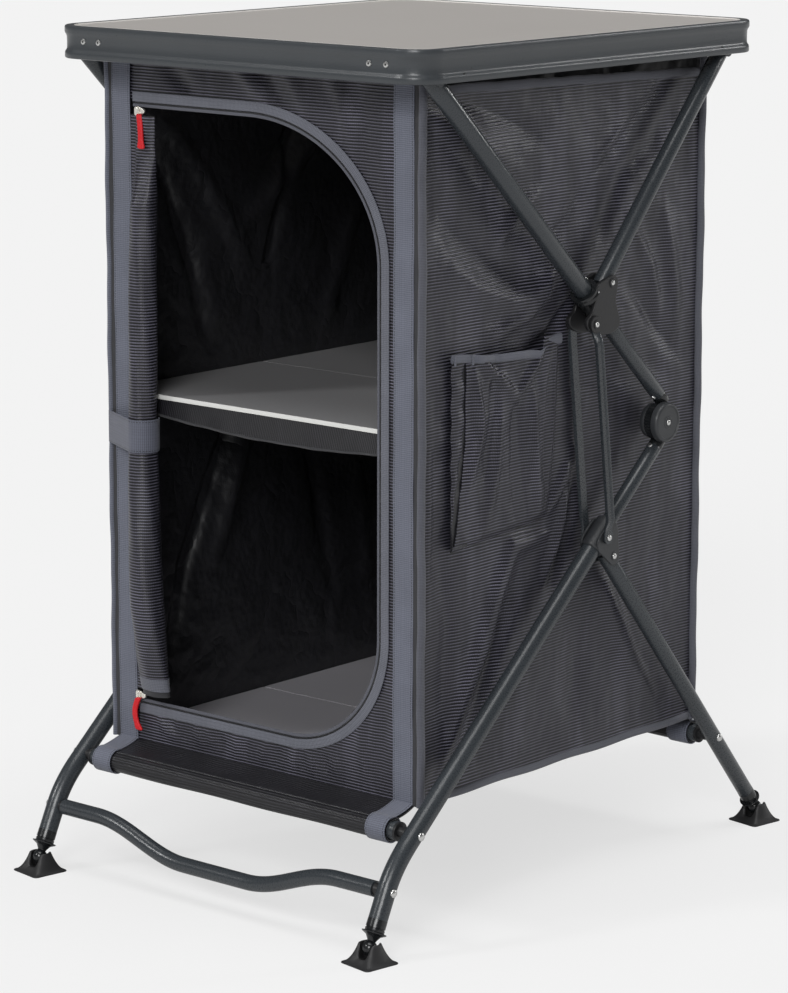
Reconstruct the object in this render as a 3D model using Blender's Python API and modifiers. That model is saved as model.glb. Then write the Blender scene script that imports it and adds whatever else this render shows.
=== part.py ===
# Camping cupboard: a folding side frame, a tabletop and a hanging fabric body with two shelves.
# Metres, +Z up, the front faces -Y. Side frame shapes are worked out in the (y, z) side plane.
import math

import bmesh
import bpy
import numpy as np
from mathutils import Matrix, Vector

# Clearances
FIT = 0.0003             # gap between pieces that touch
JOIN = 0.0002            # overlap of two shapes that are joined into one piece
REACH = 0.03             # how far a cutter reaches past what it cuts
TUBE_SIDES = 14

# Tabletop
TABLE_W = 0.520          # width along X
TABLE_D = 0.580          # depth along Y
TABLE_TOP = 0.927        # height of the rim's upper edge
TABLE_CORNER = 0.036     # corner radius of the rim
RIM_H = 0.035            # height of the rim
RIM_WALL = 0.002         # wall of the rim extrusion
RIM_WAIST = 0.0025       # how far the rim's outer face is drawn in at mid height
RIM_ROUND = 0.0015       # rounding of the rim's outer edges
RIM_BAND = 0.008         # from the drawn-in middle to where the face comes out again
RIM_SHOULDER = 0.001     # how far the face is still drawn in there
RIM_LIP = 0.010          # width of the upper lip, from the rim's outer face
LIP_T = 0.0017           # thickness of that lip
LEDGE_W = 0.014          # width of the ledge under the panel, from the rim's outer face
LEDGE_T = 0.0015         # thickness of the ledge
PANEL_T = 0.0085         # thickness of the laminated panel at its edge, under the lip
PANEL_RISE = 0.0008      # how far its middle stands higher, inside the lip
TABLE_SHIFT = 0.0054     # the tabletop's centre lies this far behind the feet's middle

# Side frame
FRAME_INSET = 0.0185     # from the rim's outer face to the middle plane of a side frame
FRONT_INSET = 0.0375     # from the rim's front face to the front upper pivot
REAR_INSET = 0.0520      # from the rim's rear face to the rear upper pivot
PIVOT_DROP = 0.0197      # from the ledge's underside down to the upper pivots
WIDE_R = 0.01025         # outer radius of the wide tubes
THIN_R = 0.00825         # outer radius of the thin tubes
REAR_R = 0.0090          # outer radius of the rear arms and rear legs
TUBE_WALL = 0.0013       # wall of the thin and rear tubes
TUBE_LAP = 0.060         # how far a thin tube reaches into a wide one
ARM_ANGLE = 43.6         # fall of the front arm towards the rear, degrees
LEG_ANGLE = 40.8         # rise of the front leg towards the rear, degrees
KNUCKLE_ALONG = 0.554    # knuckle's place along the front arm, from its upper pivot
KNUCKLE_ABOVE = 0.021    # from the knuckle's axis up to the front arm's axis
KNUCKLE_BELOW = 0.0175   # from the knuckle's axis down to the front leg's axis
KNUCKLE_R = 0.025        # radius of the knuckle's discs
KNUCKLE_T = 0.026        # thickness over both cheeks
KNUCKLE_MID = 0.0108     # thickness of the disc between the cheeks
KNUCKLE_PLUG = 0.024     # how far the knuckle's plugs reach into the tubes
EAR_IN = 0.012           # from the knuckle's axis to the inner end of an ear
HUB_ALONG = 0.365        # rear arm's pivot along the front arm
HUB_UP = 0.027           # and its distance from the front arm's axis
HUB_AHEAD = 0.017        # from that pivot to the hub's upper end
LINK_ALONG = 0.371       # link's upper end along the front arm
LINK_DOWN = 0.024        # and its distance below the front arm's axis
WIDE_PAST_HUB = 0.006    # how far the wide tube of the front arm reaches past the rear arm's pivot
BRACKET_ALONG = 0.153    # link's lower pivot along the front leg, from the knuckle
BRACKET_OFF = 0.003      # and its distance above the leg's axis
BRACKET_AHEAD = 0.022    # from that pivot to the bracket's upper end
WIDE_BEFORE = 0.012      # from that pivot up to where the wide tube of the front leg starts
REAR_LEG_ALONG = 0.157   # rear leg's pivot along the front leg
REAR_LEG_OFF = 0.024     # and its distance below the leg's axis
TUBE_PAST = 0.005        # how far a tube runs past the pin in its end
CHEEK_GAP = 0.0005       # from a tube to the cheeks of its upper bracket
CHEEK_T = 0.0016         # thickness of those cheeks
CHEEK_R = 0.0065         # radius of the cheeks round the pivot
WEB_HALF = 0.0100        # half the length of the bracket's web
WEB_T = 0.0020           # thickness of that web
SLEEVE_WALL = 0.0026     # wall of the hub's and the bracket's sleeves
SLEEVE_L = 0.040         # length of both sleeves
PLATE_IN = 0.0095        # inner face of the clevis plates, from the frame plane
PLATE_T = 0.0029         # thickness of the clevis plates
PIN_BOSS = 0.0095        # radius of the clevis plates round a pivot
PLATE_R = 0.0115         # radius of the clevis plates along their sleeve
LINK_IN = 0.0137         # inner face of the links, from the frame plane
LINK_T = 0.0026          # thickness of the links
LINK_W = 0.011           # width of the links
EYE_R = 0.0072           # radius of the links' eyes
PIN_R = 0.0030           # radius of the rivets' shanks
HEAD_R = 0.0044          # radius of the rivets' heads
HEAD_H = 0.0016          # height of the rivets' heads
HEAD_TAPER = 0.7         # a head's outer radius, as a share of HEAD_R
BUTTON_R = 0.0030        # radius of the lock button
BUTTON_OUT = 0.0028      # how far the lock button stands out of the front arm
BUTTON_CROWN = 0.93      # radius of its rounded end, as a share of BUTTON_R
BUTTON_FOOT = 0.0020     # how far the button's foot is wider than its stem
BUTTON_AHEAD = 0.0075    # from the hub's upper end to the lock button
KEYWAY = 0.0007          # gap round the lock button in the hub's keyway

# Feet
BEND_ALONG = 0.600           # where the front leg turns down, from the knuckle
BEND_BEFORE = 0.030          # length of the bend before that point
BEND_AFTER = 0.024           # and after it
FRONT_BALL_Y = -0.3452
REAR_BALL_Y = 0.3344
BALL_Z = 0.0165
BALL_R = 0.0080
PAD_SIZE = 0.050
PAD_WAIST = 0.004            # how far the pad's sides are drawn in
PAD_T = 0.0035
PAD_DOME_LOW = 0.0215        # radius of the pad's dome at its foot
PAD_DOME_R = 0.0130          # and at its top
PAD_RIM = 0.0020             # how far the dome's top stands above the ball's centre
PAD_SLOT = 0.0062            # half the width of the dome's openings
FOOT_L = 0.024               # from the tube's end to the ball's centre
FOOT_PLUG = 0.018            # how far the plug reaches into the tube
COLLAR_OUT = 0.0016          # how far the collar stands out past the tube
COLLAR_T = 0.0045
NECK_R = (0.0075, 0.0042)    # radius of the neck at the collar and at the ball

# Cross bars
BAR_R = 0.0100
FRONT_BAR_ALONG = 0.557      # along the front leg, from the knuckle
REAR_BAR_ALONG = 0.321       # along the rear leg, from its pivot
WAVE_R = 0.0085
WAVE_BELOW = 0.0247          # along the shin, below the bend
WAVE_DROP = 0.030            # how far the bar dips in its middle
WAVE_STRAIGHT = 0.055        # length of its straight ends
WAVE_RUN = 0.130             # length of each slope
HEM_T = 0.0014               # fabric wrapped round a bar
HEM_IN = 0.008               # from the fabric body's side to the end of that wrap

# Fabric body
BAG_IN = 0.0210              # from the frame plane to the fabric body's side
BAG_BEHIND = 0.0095          # from the front upper pivot back to the front panel
BAG_AHEAD = 0.0035           # from the rear upper pivot forward to the back panel
BAG_ABOVE_BAR = 0.0195       # from the front bar's axis up to the fabric's lower edge
FABRIC = 0.0012
WEBBING_W = 0.0274
WEBBING_T = 0.0014
WEBBING_IN = 0.008           # from the fabric body's side to the webbing
DOOR_LEFT_IN = 0.0314        # from the body's left side to the door's opening
DOOR_RIGHT_IN = 0.0504       # from the body's right side
DOOR_TOP_IN = 0.0682         # from the body's upper edge
DOOR_BOTTOM_IN = 0.0409      # from the body's lower edge
DOOR_TOP_R = (0.184, 0.150)      # radii of the upper right corner
DOOR_BOTTOM_R = (0.130, 0.1285)  # radii of the lower right corner
TAPE_IN = 0.0065             # how far the zip's tape stands into the opening
TAPE_OUT = 0.0035            # how far it lies on the panel
TAPE_T = 0.0010
ROLL_R = 0.0165              # the door, rolled up and tied at its hinge side
ROLL_FROM_EDGE = 0.033       # from the opening's left edge to the roll's axis
ROLL_LOW = 0.024             # from the opening's lower edge to the roll's end
ROLL_HIGH = 0.055            # from its upper edge
STRAP_UP = 0.290             # from the opening's lower edge to the roll's strap
STRAP_W = 0.036
POCKET_BACK = 0.042          # from the front panel to the side pocket
POCKET_W = 0.180
POCKET_UP = 0.260            # from the body's lower edge to the pocket
POCKET_H = 0.210
POCKET_ROOM = 0.0008         # gap inside the flat pocket
SHELF_UP = 0.391             # from the body's lower edge to the middle shelf's top
SHELF_T = 0.0045
SKIRT_H = 0.025
BASE_UP = 0.0030             # from the body's lower edge to the base board's underside
BASE_T = 0.0045
SLIDER_SIZE = (0.008, 0.0032, 0.013)
SLIDER_OFF = 0.0045          # from the tape's edge to the slider's middle
SLIDER_IN = {"top": 0.014, "bottom": 0.012}   # from the opening's left edge to the slider
STOP_W = 0.0025
STOP_T = 0.0010
PULL_L = 0.036
PULL_W = 0.0095
PULL_T = 0.0016
PULL_HANG = 0.002            # from the slider's upper end to the pull's

COLOURS = {
    "anthracite": (0.055, 0.062, 0.068), "laminate": (0.38, 0.36, 0.34), "steel": (0.62, 0.62, 0.62),
    "black_plastic": (0.020, 0.021, 0.022), "fabric": (0.022, 0.022, 0.025),
    "webbing": (0.110, 0.115, 0.135), "red": (0.60, 0.012, 0.018), "rubber": (0.016, 0.016, 0.017),
    "board": (0.085, 0.084, 0.085),
}


def clear_scene():
    for old in list(bpy.data.objects):
        bpy.data.objects.remove(old, do_unlink=True)


def collection(name):
    made = bpy.data.collections.new(name)
    bpy.context.scene.collection.children.link(made)
    return made


clear_scene()
PARTS = collection("camping_cupboard")
ROOT = bpy.data.objects.new("cupboard_frame", None)
ROOT.location = (0, TABLE_SHIFT, 0)
PARTS.objects.link(ROOT)


# Places in the side plane

def direction(degrees):
    angle = math.radians(degrees)
    return Vector((math.cos(angle), math.sin(angle)))


def normal(along):
    return Vector((-along.y, along.x))


LIP_UNDER = TABLE_TOP - LIP_T
PANEL_UNDER = LIP_UNDER - FIT - PANEL_T
LEDGE_TOP = PANEL_UNDER - FIT
LEDGE_UNDER = LEDGE_TOP - LEDGE_T
FRAME_X = TABLE_W / 2 - FRAME_INSET
ARM = direction(-ARM_ANGLE)
ARM_N = normal(ARM)
LEG = direction(180 + LEG_ANGLE)
LEG_N = normal(LEG)
FRONT_PIVOT = Vector((FRONT_INSET - TABLE_D / 2, LEDGE_UNDER - PIVOT_DROP))
REAR_PIVOT = Vector((TABLE_D / 2 - REAR_INSET, LEDGE_UNDER - PIVOT_DROP))


def on_arm(along, up=0.0):
    return FRONT_PIVOT + ARM * along + ARM_N * up


KNUCKLE = on_arm(KNUCKLE_ALONG, -KNUCKLE_ABOVE)


def on_leg(along, down=0.0):
    return KNUCKLE + LEG * along + LEG_N * (down + KNUCKLE_BELOW)


HUB_PIN = on_arm(HUB_ALONG, HUB_UP)
LINK_TOP = on_arm(LINK_ALONG, -LINK_DOWN)
LINK_PIN = on_leg(BRACKET_ALONG, -BRACKET_OFF)
REAR_LEG_PIN = on_leg(REAR_LEG_ALONG, REAR_LEG_OFF)
BUTTON = on_arm(HUB_ALONG - HUB_AHEAD - BUTTON_AHEAD)
FRONT_BALL = Vector((FRONT_BALL_Y, BALL_Z))
REAR_BALL = Vector((REAR_BALL_Y, BALL_Z))
BEND = on_leg(BEND_ALONG)
FRONT_SHIN = (FRONT_BALL - BEND).normalized()
REAR_LEG = (REAR_BALL - REAR_LEG_PIN).normalized()
REAR_ARM = (HUB_PIN - REAR_PIVOT).normalized()
FRONT_BAR = on_leg(FRONT_BAR_ALONG)
WAVE_BAR = BEND + FRONT_SHIN * WAVE_BELOW
REAR_BAR = REAR_LEG_PIN + REAR_LEG * REAR_BAR_ALONG
PLATE_FACE = PLATE_IN + PLATE_T
WIDE_WALL = WIDE_R - THIN_R + JOIN

# Places on the fabric body
BAG_HALF_W = FRAME_X - BAG_IN
BAG_FRONT = FRONT_PIVOT.x + BAG_BEHIND
BAG_BACK = REAR_PIVOT.x - BAG_AHEAD
BAG_TOP = PANEL_UNDER - FIT
BAG_BOTTOM = FRONT_BAR.y + BAG_ABOVE_BAR
INNER_X = BAG_HALF_W - FABRIC - FIT
INNER_FRONT = BAG_FRONT + FABRIC + FIT
INNER_BACK = BAG_BACK - FABRIC - FIT
DOOR_LEFT = DOOR_LEFT_IN - BAG_HALF_W
DOOR_RIGHT = BAG_HALF_W - DOOR_RIGHT_IN
DOOR_TOP = BAG_TOP - DOOR_TOP_IN
DOOR_BOTTOM = BAG_BOTTOM + DOOR_BOTTOM_IN
HINGE_X = WEBBING_IN + WEBBING_W + FIT - BAG_HALF_W
ROLL_X = DOOR_LEFT + ROLL_FROM_EDGE
ROLL_Z = (DOOR_BOTTOM + ROLL_LOW, DOOR_TOP - ROLL_HIGH)
STRAP_Z = (DOOR_BOTTOM + STRAP_UP, DOOR_BOTTOM + STRAP_UP + STRAP_W)
SHELF_TOP = BAG_BOTTOM + SHELF_UP
BASE_TOP = BAG_BOTTOM + BASE_UP + BASE_T


def at(x, point):
    return Vector((x, point[0], point[1]))


def plug_radius(outer, wall):
    """The radius that fits the flats of a faceted tube's bore."""
    return (outer - wall) * math.cos(math.pi / TUBE_SIDES) - FIT


# Objects, materials and modifiers

def material(name, colour):
    roughness, metallic = FINISHES[colour]
    made = bpy.data.materials.new(name)
    made.use_nodes = True
    shader = made.node_tree.nodes["Principled BSDF"]
    shader.inputs["Base Color"].default_value = (*COLOURS[colour], 1)
    shader.inputs["Roughness"].default_value = roughness
    shader.inputs["Metallic"].default_value = metallic
    made.diffuse_color = (*COLOURS[colour], 1)
    return made


# Roughness and metallic of each finish
FINISHES = {
    "anthracite": (0.45, 0.6), "laminate": (0.5, 0.0), "steel": (0.3, 1.0), "black_plastic": (0.4, 0.0),
    "fabric": (0.9, 0.0), "webbing": (0.9, 0.0), "red": (0.4, 0.0), "rubber": (0.7, 0.0), "board": (0.6, 0.0),
}


def finish(obj, colour):
    obj.data.materials.clear()
    obj.data.materials.append(material(obj.name, colour))


def pivot(name, x, point):
    empty = bpy.data.objects.new(name, None)
    empty.empty_display_size = 0.02
    empty.location = at(x, point)
    empty.parent = ROOT
    PARTS.objects.link(empty)
    return empty


def link(obj, parent=None, colour=None):
    PARTS.objects.link(obj)
    if parent is None:
        obj.parent = ROOT
    else:
        obj.parent = parent
        obj.matrix_parent_inverse = Matrix.Translation(parent.location).inverted()
    if colour:
        finish(obj, colour)
    return obj


def settle(obj):
    """The object's mesh with its modifiers made real."""
    bpy.context.scene.collection.objects.link(obj)
    bpy.context.view_layer.update()
    mesh = bpy.data.meshes.new_from_object(obj.evaluated_get(bpy.context.evaluated_depsgraph_get()))
    bpy.context.scene.collection.objects.unlink(obj)
    obj.modifiers.clear()
    obj.data = mesh
    return smooth(obj)


def combine(target, tool, operation):
    bpy.context.scene.collection.objects.link(tool)
    modifier = target.modifiers.new(operation.title(), 'BOOLEAN')
    modifier.operation = operation
    modifier.solver = 'EXACT'
    modifier.object = tool
    settle(target)
    bpy.data.objects.remove(tool, do_unlink=True)
    return target


def cut(target, *tools):
    for tool in tools:
        combine(target, tool, 'DIFFERENCE')
    return target


def fuse(target, *tools):
    for tool in tools:
        combine(target, tool, 'UNION')
    return target


def mesh_object(name, bm):
    mesh = bpy.data.meshes.new(name)
    bm.to_mesh(mesh)
    bm.free()
    return bpy.data.objects.new(name, mesh)


def smooth(obj, angle=35):
    obj.data.shade_smooth()
    obj.data.set_sharp_from_angle(angle=math.radians(angle))
    return obj


def box(name, low, high, bevel=0.0):
    low, high = Vector(low), Vector(high)
    bm = bmesh.new()
    bmesh.ops.create_cube(bm, size=1.0)
    bmesh.ops.scale(bm, vec=high - low, verts=bm.verts)
    bmesh.ops.translate(bm, vec=(low + high) / 2, verts=bm.verts)
    if bevel:
        bmesh.ops.bevel(bm, geom=bm.edges[:], offset=bevel, segments=2, profile=0.5, affect='EDGES')
    return mesh_object(name, bm)


def rod(name, start, end, radius, sides=20, radius_end=None):
    start, end = Vector(start), Vector(end)
    bm = bmesh.new()
    bmesh.ops.create_cone(bm, cap_ends=True, segments=sides, radius1=radius,
                          radius2=radius if radius_end is None else radius_end, depth=(end - start).length)
    turn = Vector((0, 0, 1)).rotation_difference(end - start).to_matrix().to_4x4()
    bmesh.ops.transform(bm, matrix=Matrix.Translation((start + end) / 2) @ turn, verts=bm.verts)
    return smooth(mesh_object(name, bm))


def ball(name, centre, radius):
    bm = bmesh.new()
    bmesh.ops.create_uvsphere(bm, u_segments=14, v_segments=8, radius=radius)
    bmesh.ops.translate(bm, vec=centre, verts=bm.verts)
    return smooth(mesh_object(name, bm))


def swept(name, points, radius):
    """An open round skin along a path."""
    curve = bpy.data.curves.new(name, 'CURVE')
    curve.dimensions = '3D'
    curve.bevel_depth = radius
    curve.bevel_resolution = (TUBE_SIDES - 4) // 2
    spline = curve.splines.new('POLY')
    spline.points.add(len(points) - 1)
    for slot, point in zip(spline.points, points):
        slot.co = (*point, 1)
    maker = bpy.data.objects.new(name, curve)
    bpy.context.scene.collection.objects.link(maker)
    evaluated = maker.evaluated_get(bpy.context.evaluated_depsgraph_get())
    mesh = bpy.data.meshes.new_from_object(evaluated)
    bm = bmesh.new()
    bm.from_mesh(mesh)
    bmesh.ops.remove_doubles(bm, verts=bm.verts, dist=1e-6)
    bpy.data.objects.remove(maker, do_unlink=True)
    bpy.data.meshes.remove(mesh)
    return smooth(mesh_object(name, bm))


def hollow(name, points, radius, wall):
    tube = swept(name, points, radius)
    shell = tube.modifiers.new("Wall", 'SOLIDIFY')
    shell.thickness = wall
    shell.offset = -1
    shell.use_even_offset = True
    return settle(tube)


def plate(name, outline, x_low, x_high):
    """A flat outline in the side plane, between two x values."""
    curve = bpy.data.curves.new(name, 'CURVE')
    curve.dimensions = '2D'
    curve.fill_mode = 'BOTH'
    curve.extrude = abs(x_high - x_low) / 2
    spline = curve.splines.new('POLY')
    spline.points.add(len(outline) - 1)
    for slot, point in zip(spline.points, outline):
        slot.co = (point[0], point[1], 0, 1)
    spline.use_cyclic_u = True
    maker = bpy.data.objects.new(name, curve)
    bpy.context.scene.collection.objects.link(maker)
    mesh = bpy.data.meshes.new_from_object(maker.evaluated_get(bpy.context.evaluated_depsgraph_get()))
    bm = bmesh.new()
    bm.from_mesh(mesh)
    bmesh.ops.remove_doubles(bm, verts=bm.verts, dist=1e-6)
    stand = Matrix(((0, 0, 1, (x_low + x_high) / 2), (1, 0, 0, 0), (0, 1, 0, 0), (0, 0, 0, 1)))
    bmesh.ops.transform(bm, matrix=stand, verts=bm.verts)
    bmesh.ops.recalc_face_normals(bm, faces=bm.faces)
    bpy.data.objects.remove(maker, do_unlink=True)
    bpy.data.meshes.remove(mesh)
    return smooth(mesh_object(name, bm), 30)


def laid(name, outline, z_low, z_high):
    """A flat outline in plan, between two heights."""
    standing = plate(name, outline, z_low, z_high)
    turn = Matrix(((0, 1, 0, 0), (0, 0, 1, 0), (1, 0, 0, 0), (0, 0, 0, 1)))
    standing.data.transform(turn)
    return standing


def hull(circles, steps=20):
    """The outline round a set of circles, each ((y, z), radius)."""
    points = []
    for centre, radius in circles:
        for step in range(steps):
            angle = 2 * math.pi * step / steps
            points.append((round(centre[0] + radius * math.cos(angle), 7),
                           round(centre[1] + radius * math.sin(angle), 7)))
    points = sorted(set(points))
    least_area = 1e-12

    def half(sequence):
        chain = []
        for point in sequence:
            while len(chain) > 1:
                a, b = chain[-2], chain[-1]
                area = (b[0] - a[0]) * (point[1] - a[1]) - (b[1] - a[1]) * (point[0] - a[0])
                if area > least_area:
                    break
                chain.pop()
            chain.append(point)
        return chain

    return half(points)[:-1] + half(reversed(points))[:-1]


def rounded_rectangle(width, depth, radius, steps=8):
    points = []
    for index, (sx, sy) in enumerate(((1, 1), (-1, 1), (-1, -1), (1, -1))):
        centre = (sx * (width / 2 - radius), sy * (depth / 2 - radius))
        for step in range(steps + 1):
            angle = math.pi / 2 * (index + step / steps)
            points.append((centre[0] + radius * math.cos(angle), centre[1] + radius * math.sin(angle)))
    return points


def arc(centre, radii, start, stop, steps=10):
    points = []
    for angle in np.radians(np.linspace(start, stop, steps + 1)):
        points.append((centre[0] + radii[0] * math.cos(angle), centre[1] + radii[1] * math.sin(angle)))
    return points


# Tabletop

def table_rim():
    """A drawn-in outer wall with a lip over the panel and a ledge under it."""
    low = TABLE_TOP - RIM_H
    middle = low + RIM_H / 2
    inner = RIM_WAIST + RIM_WALL
    section = [
        (RIM_ROUND, low), (0, low + RIM_ROUND), (RIM_SHOULDER, middle - RIM_BAND), (RIM_WAIST, middle),
        (RIM_SHOULDER, middle + RIM_BAND), (0, TABLE_TOP - RIM_ROUND), (RIM_ROUND, TABLE_TOP),
        (RIM_LIP, TABLE_TOP), (RIM_LIP, LIP_UNDER), (inner, LIP_UNDER), (inner, LEDGE_TOP),
        (LEDGE_W, LEDGE_TOP), (LEDGE_W, LEDGE_UNDER), (inner, LEDGE_UNDER), (inner, low),
    ]
    bm = bmesh.new()
    rings = []
    for inset, z in section:
        outline = rounded_rectangle(TABLE_W - 2 * inset, TABLE_D - 2 * inset, TABLE_CORNER - inset)
        rings.append([bm.verts.new((x, y, z)) for x, y in outline])
    for ring, following in zip(rings, rings[1:] + rings[:1]):
        for i in range(len(ring)):
            j = (i + 1) % len(ring)
            bm.faces.new((ring[i], ring[j], following[j], following[i]))
    bmesh.ops.recalc_face_normals(bm, faces=bm.faces)
    link(smooth(mesh_object("table_rim", bm)), colour="anthracite")


def table_panel():
    """A laminated panel whose rebated edge lies between the rim's lip and its ledge."""
    def inside(inset):
        return rounded_rectangle(TABLE_W - 2 * inset, TABLE_D - 2 * inset, TABLE_CORNER - inset)

    edge_top = PANEL_UNDER + PANEL_T
    panel = laid("table_panel", inside(RIM_WAIST + RIM_WALL + FIT), PANEL_UNDER, edge_top)
    fuse(panel, laid("middle", inside(RIM_LIP + FIT), edge_top - PANEL_RISE, edge_top + PANEL_RISE))
    link(panel, colour="laminate")


def top_bracket(name, x, point, tube_r, pinned):
    """A clevis under the ledge, with its pin where an arm hangs from it."""
    web_top = LEDGE_UNDER - FIT
    web_low = web_top - WEB_T
    inner = tube_r + CHEEK_GAP
    outer = inner + CHEEK_T
    corner = WEB_T / 2
    outline = hull([(point, CHEEK_R), ((point.x - WEB_HALF + corner, web_low), corner),
                    ((point.x + WEB_HALF - corner, web_low), corner)], 16)
    web = box(name, (x - outer, point.x - WEB_HALF, web_low), (x + outer, point.x + WEB_HALF, web_top))
    for low, high in ((inner, outer), (-outer, -inner)):
        fuse(web, plate("cheek", outline, x + low, x + high))
    if pinned:
        fuse(web, rivet("pin", x, point, outer))
    link(web, colour="anthracite")


# Rear arms, sliding hubs and front arms

def drilled(body, point, x, reach=REACH, radius=PIN_R + FIT):
    return cut(body, rod("hole", at(x - reach, point), at(x + reach, point), radius, 12))


def rivet(name, x, point, reach):
    """A shank along X with a head at each end; reach is from the frame plane to a head's face."""
    shank = rod(name, at(x - reach - JOIN, point), at(x + reach + JOIN, point), PIN_R, 10)
    for end in (-1, 1):
        fuse(shank, rod("head", at(x + end * reach, point), at(x + end * (reach + HEAD_H), point),
                        HEAD_R, 10, HEAD_R * HEAD_TAPER))
    return shank


def stepped_tube(name, wide_points, thin_points):
    """A wide tube with a thin tube fixed in its end."""
    wide = hollow(name, wide_points, WIDE_R, WIDE_WALL)
    return fuse(wide, hollow("thin", thin_points, THIN_R, TUBE_WALL))


def rear_arm(name, x, parent):
    tube = hollow(name, [at(x, REAR_PIVOT - REAR_ARM * TUBE_PAST), at(x, HUB_PIN + REAR_ARM * TUBE_PAST)],
                  REAR_R, TUBE_WALL)
    drilled(tube, REAR_PIVOT, x)
    drilled(tube, HUB_PIN, x)
    link(tube, parent, "anthracite")


def clevis(name, x, sleeve_start, sleeve_end, outline, pin):
    """A sleeve on a wide tube with two plates beside it and a rivet through both plates."""
    bore = WIDE_R + FIT
    body = rod(name, at(x, sleeve_start), at(x, sleeve_end), bore + SLEEVE_WALL, 22)
    for low, high in ((PLATE_IN, PLATE_FACE), (-PLATE_FACE, -PLATE_IN)):
        fuse(body, plate("cheek", outline, x + low, x + high))
    along = (sleeve_end - sleeve_start).normalized()
    cut(body, rod("bore", at(x, sleeve_start - along * REACH), at(x, sleeve_end + along * REACH), bore, 22))
    return fuse(body, rivet("pin", x, pin, PLATE_FACE))


def hub(name, x, parent):
    """Slides on the front arm and carries the rear arm's lower end between its plates."""
    start = HUB_ALONG - HUB_AHEAD
    end = start + SLEEVE_L
    outline = hull([(HUB_PIN, PIN_BOSS), (LINK_TOP, PIN_BOSS), (on_arm(start + PLATE_R), PLATE_R),
                    (on_arm(end - PLATE_R), PLATE_R)], 14)
    body = clevis(name, x, on_arm(start), on_arm(end), outline, HUB_PIN)
    lift = WIDE_R + BUTTON_OUT / 2
    cut(body, rod("keyway", at(x, on_arm(start - REACH, lift)), at(x, on_arm(end + REACH, lift)),
                  BUTTON_R + KEYWAY, 12))
    link(body, parent, "black_plastic")


def front_arm(name, x, parent):
    wide_end = HUB_ALONG + WIDE_PAST_HUB
    thin_end = KNUCKLE_ALONG - tube_clear(KNUCKLE_ABOVE)
    tube = stepped_tube(name, [at(x, on_arm(-TUBE_PAST)), at(x, on_arm(wide_end))],
                        [at(x, on_arm(wide_end - TUBE_LAP)), at(x, on_arm(thin_end))])
    cut(tube, rod("hole", at(x, BUTTON), at(x, BUTTON + ARM_N * REACH), BUTTON_R + FIT, 14))
    link(tube, parent, "anthracite")


def lock_button(name, x, parent):
    """A spring button that stands out of the front arm above the hub."""
    crown = BUTTON_R * BUTTON_CROWN
    stem_end = WIDE_R + BUTTON_OUT - crown / 2
    stem = rod(name, at(x, BUTTON), at(x, BUTTON + ARM_N * stem_end), BUTTON_R, 14)
    fuse(stem, ball("crown", at(x, BUTTON + ARM_N * (stem_end - crown / 2)), crown))
    fuse(stem, rod("foot", at(x, BUTTON), at(x, BUTTON + ARM_N * CHEEK_T), BUTTON_R + BUTTON_FOOT, 14))
    link(stem, parent, "steel")


# Knuckles between the front arms and the front legs

def tube_clear(offset):
    """How far short of the knuckle's axis a thin tube ends, so that it stays outside the discs."""
    return math.sqrt((KNUCKLE_R + 2 * FIT) ** 2 - (offset - THIN_R) ** 2) + FIT


def knuckle_half(name, x, along, across, offset, cheeks, parent):
    """Discs on the knuckle's axis, an ear outside the discs and a plug that fills the tube's end."""
    half_t, half_mid = KNUCKLE_T / 2, KNUCKLE_MID / 2
    foot = KNUCKLE + across * offset
    ear_start = foot - along * (tube_clear(offset) - FIT)
    ear_end = foot - along * EAR_IN
    body = rod(name, at(x - half_t, KNUCKLE), at(x + half_t, KNUCKLE), KNUCKLE_R, 28)
    fuse(body, rod("ear", at(x, ear_start), at(x, ear_end), THIN_R, 20))
    clear = KNUCKLE_R + 2 * FIT
    if cheeks:
        cut(body, rod("gap", at(x - half_mid - FIT, KNUCKLE), at(x + half_mid + FIT, KNUCKLE), clear, 28))
        fuse(body, rivet("pin", x, KNUCKLE, half_t))
    else:
        cut(body, rod("outer", at(x + half_mid, KNUCKLE), at(x + half_t + REACH, KNUCKLE), clear, 28))
        cut(body, rod("inner", at(x - half_t - REACH, KNUCKLE), at(x - half_mid, KNUCKLE), clear, 28))
        drilled(body, KNUCKLE, x)
    fuse(body, rod("plug", at(x, ear_start - along * KNUCKLE_PLUG), at(x, ear_start + along * CHEEK_T),
                   plug_radius(THIN_R, TUBE_WALL), 20))
    link(body, parent, "black_plastic")


# Front legs, brackets, links and rear legs

def front_leg(name, x, parent):
    wide_start = BRACKET_ALONG - WIDE_BEFORE
    before, after = BEND - LEG * BEND_BEFORE, BEND + FRONT_SHIN * BEND_AFTER
    bend = [before * (1 - t) ** 2 + BEND * 2 * t * (1 - t) + after * t ** 2 for t in np.linspace(0, 1, 7)]
    path = [on_leg(wide_start)] + bend + [FRONT_BALL - FRONT_SHIN * FOOT_L]
    tube = stepped_tube(name, [at(x, point) for point in path],
                        [at(x, on_leg(tube_clear(KNUCKLE_BELOW))), at(x, on_leg(wide_start + TUBE_LAP))])
    link(tube, parent, "anthracite")


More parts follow.
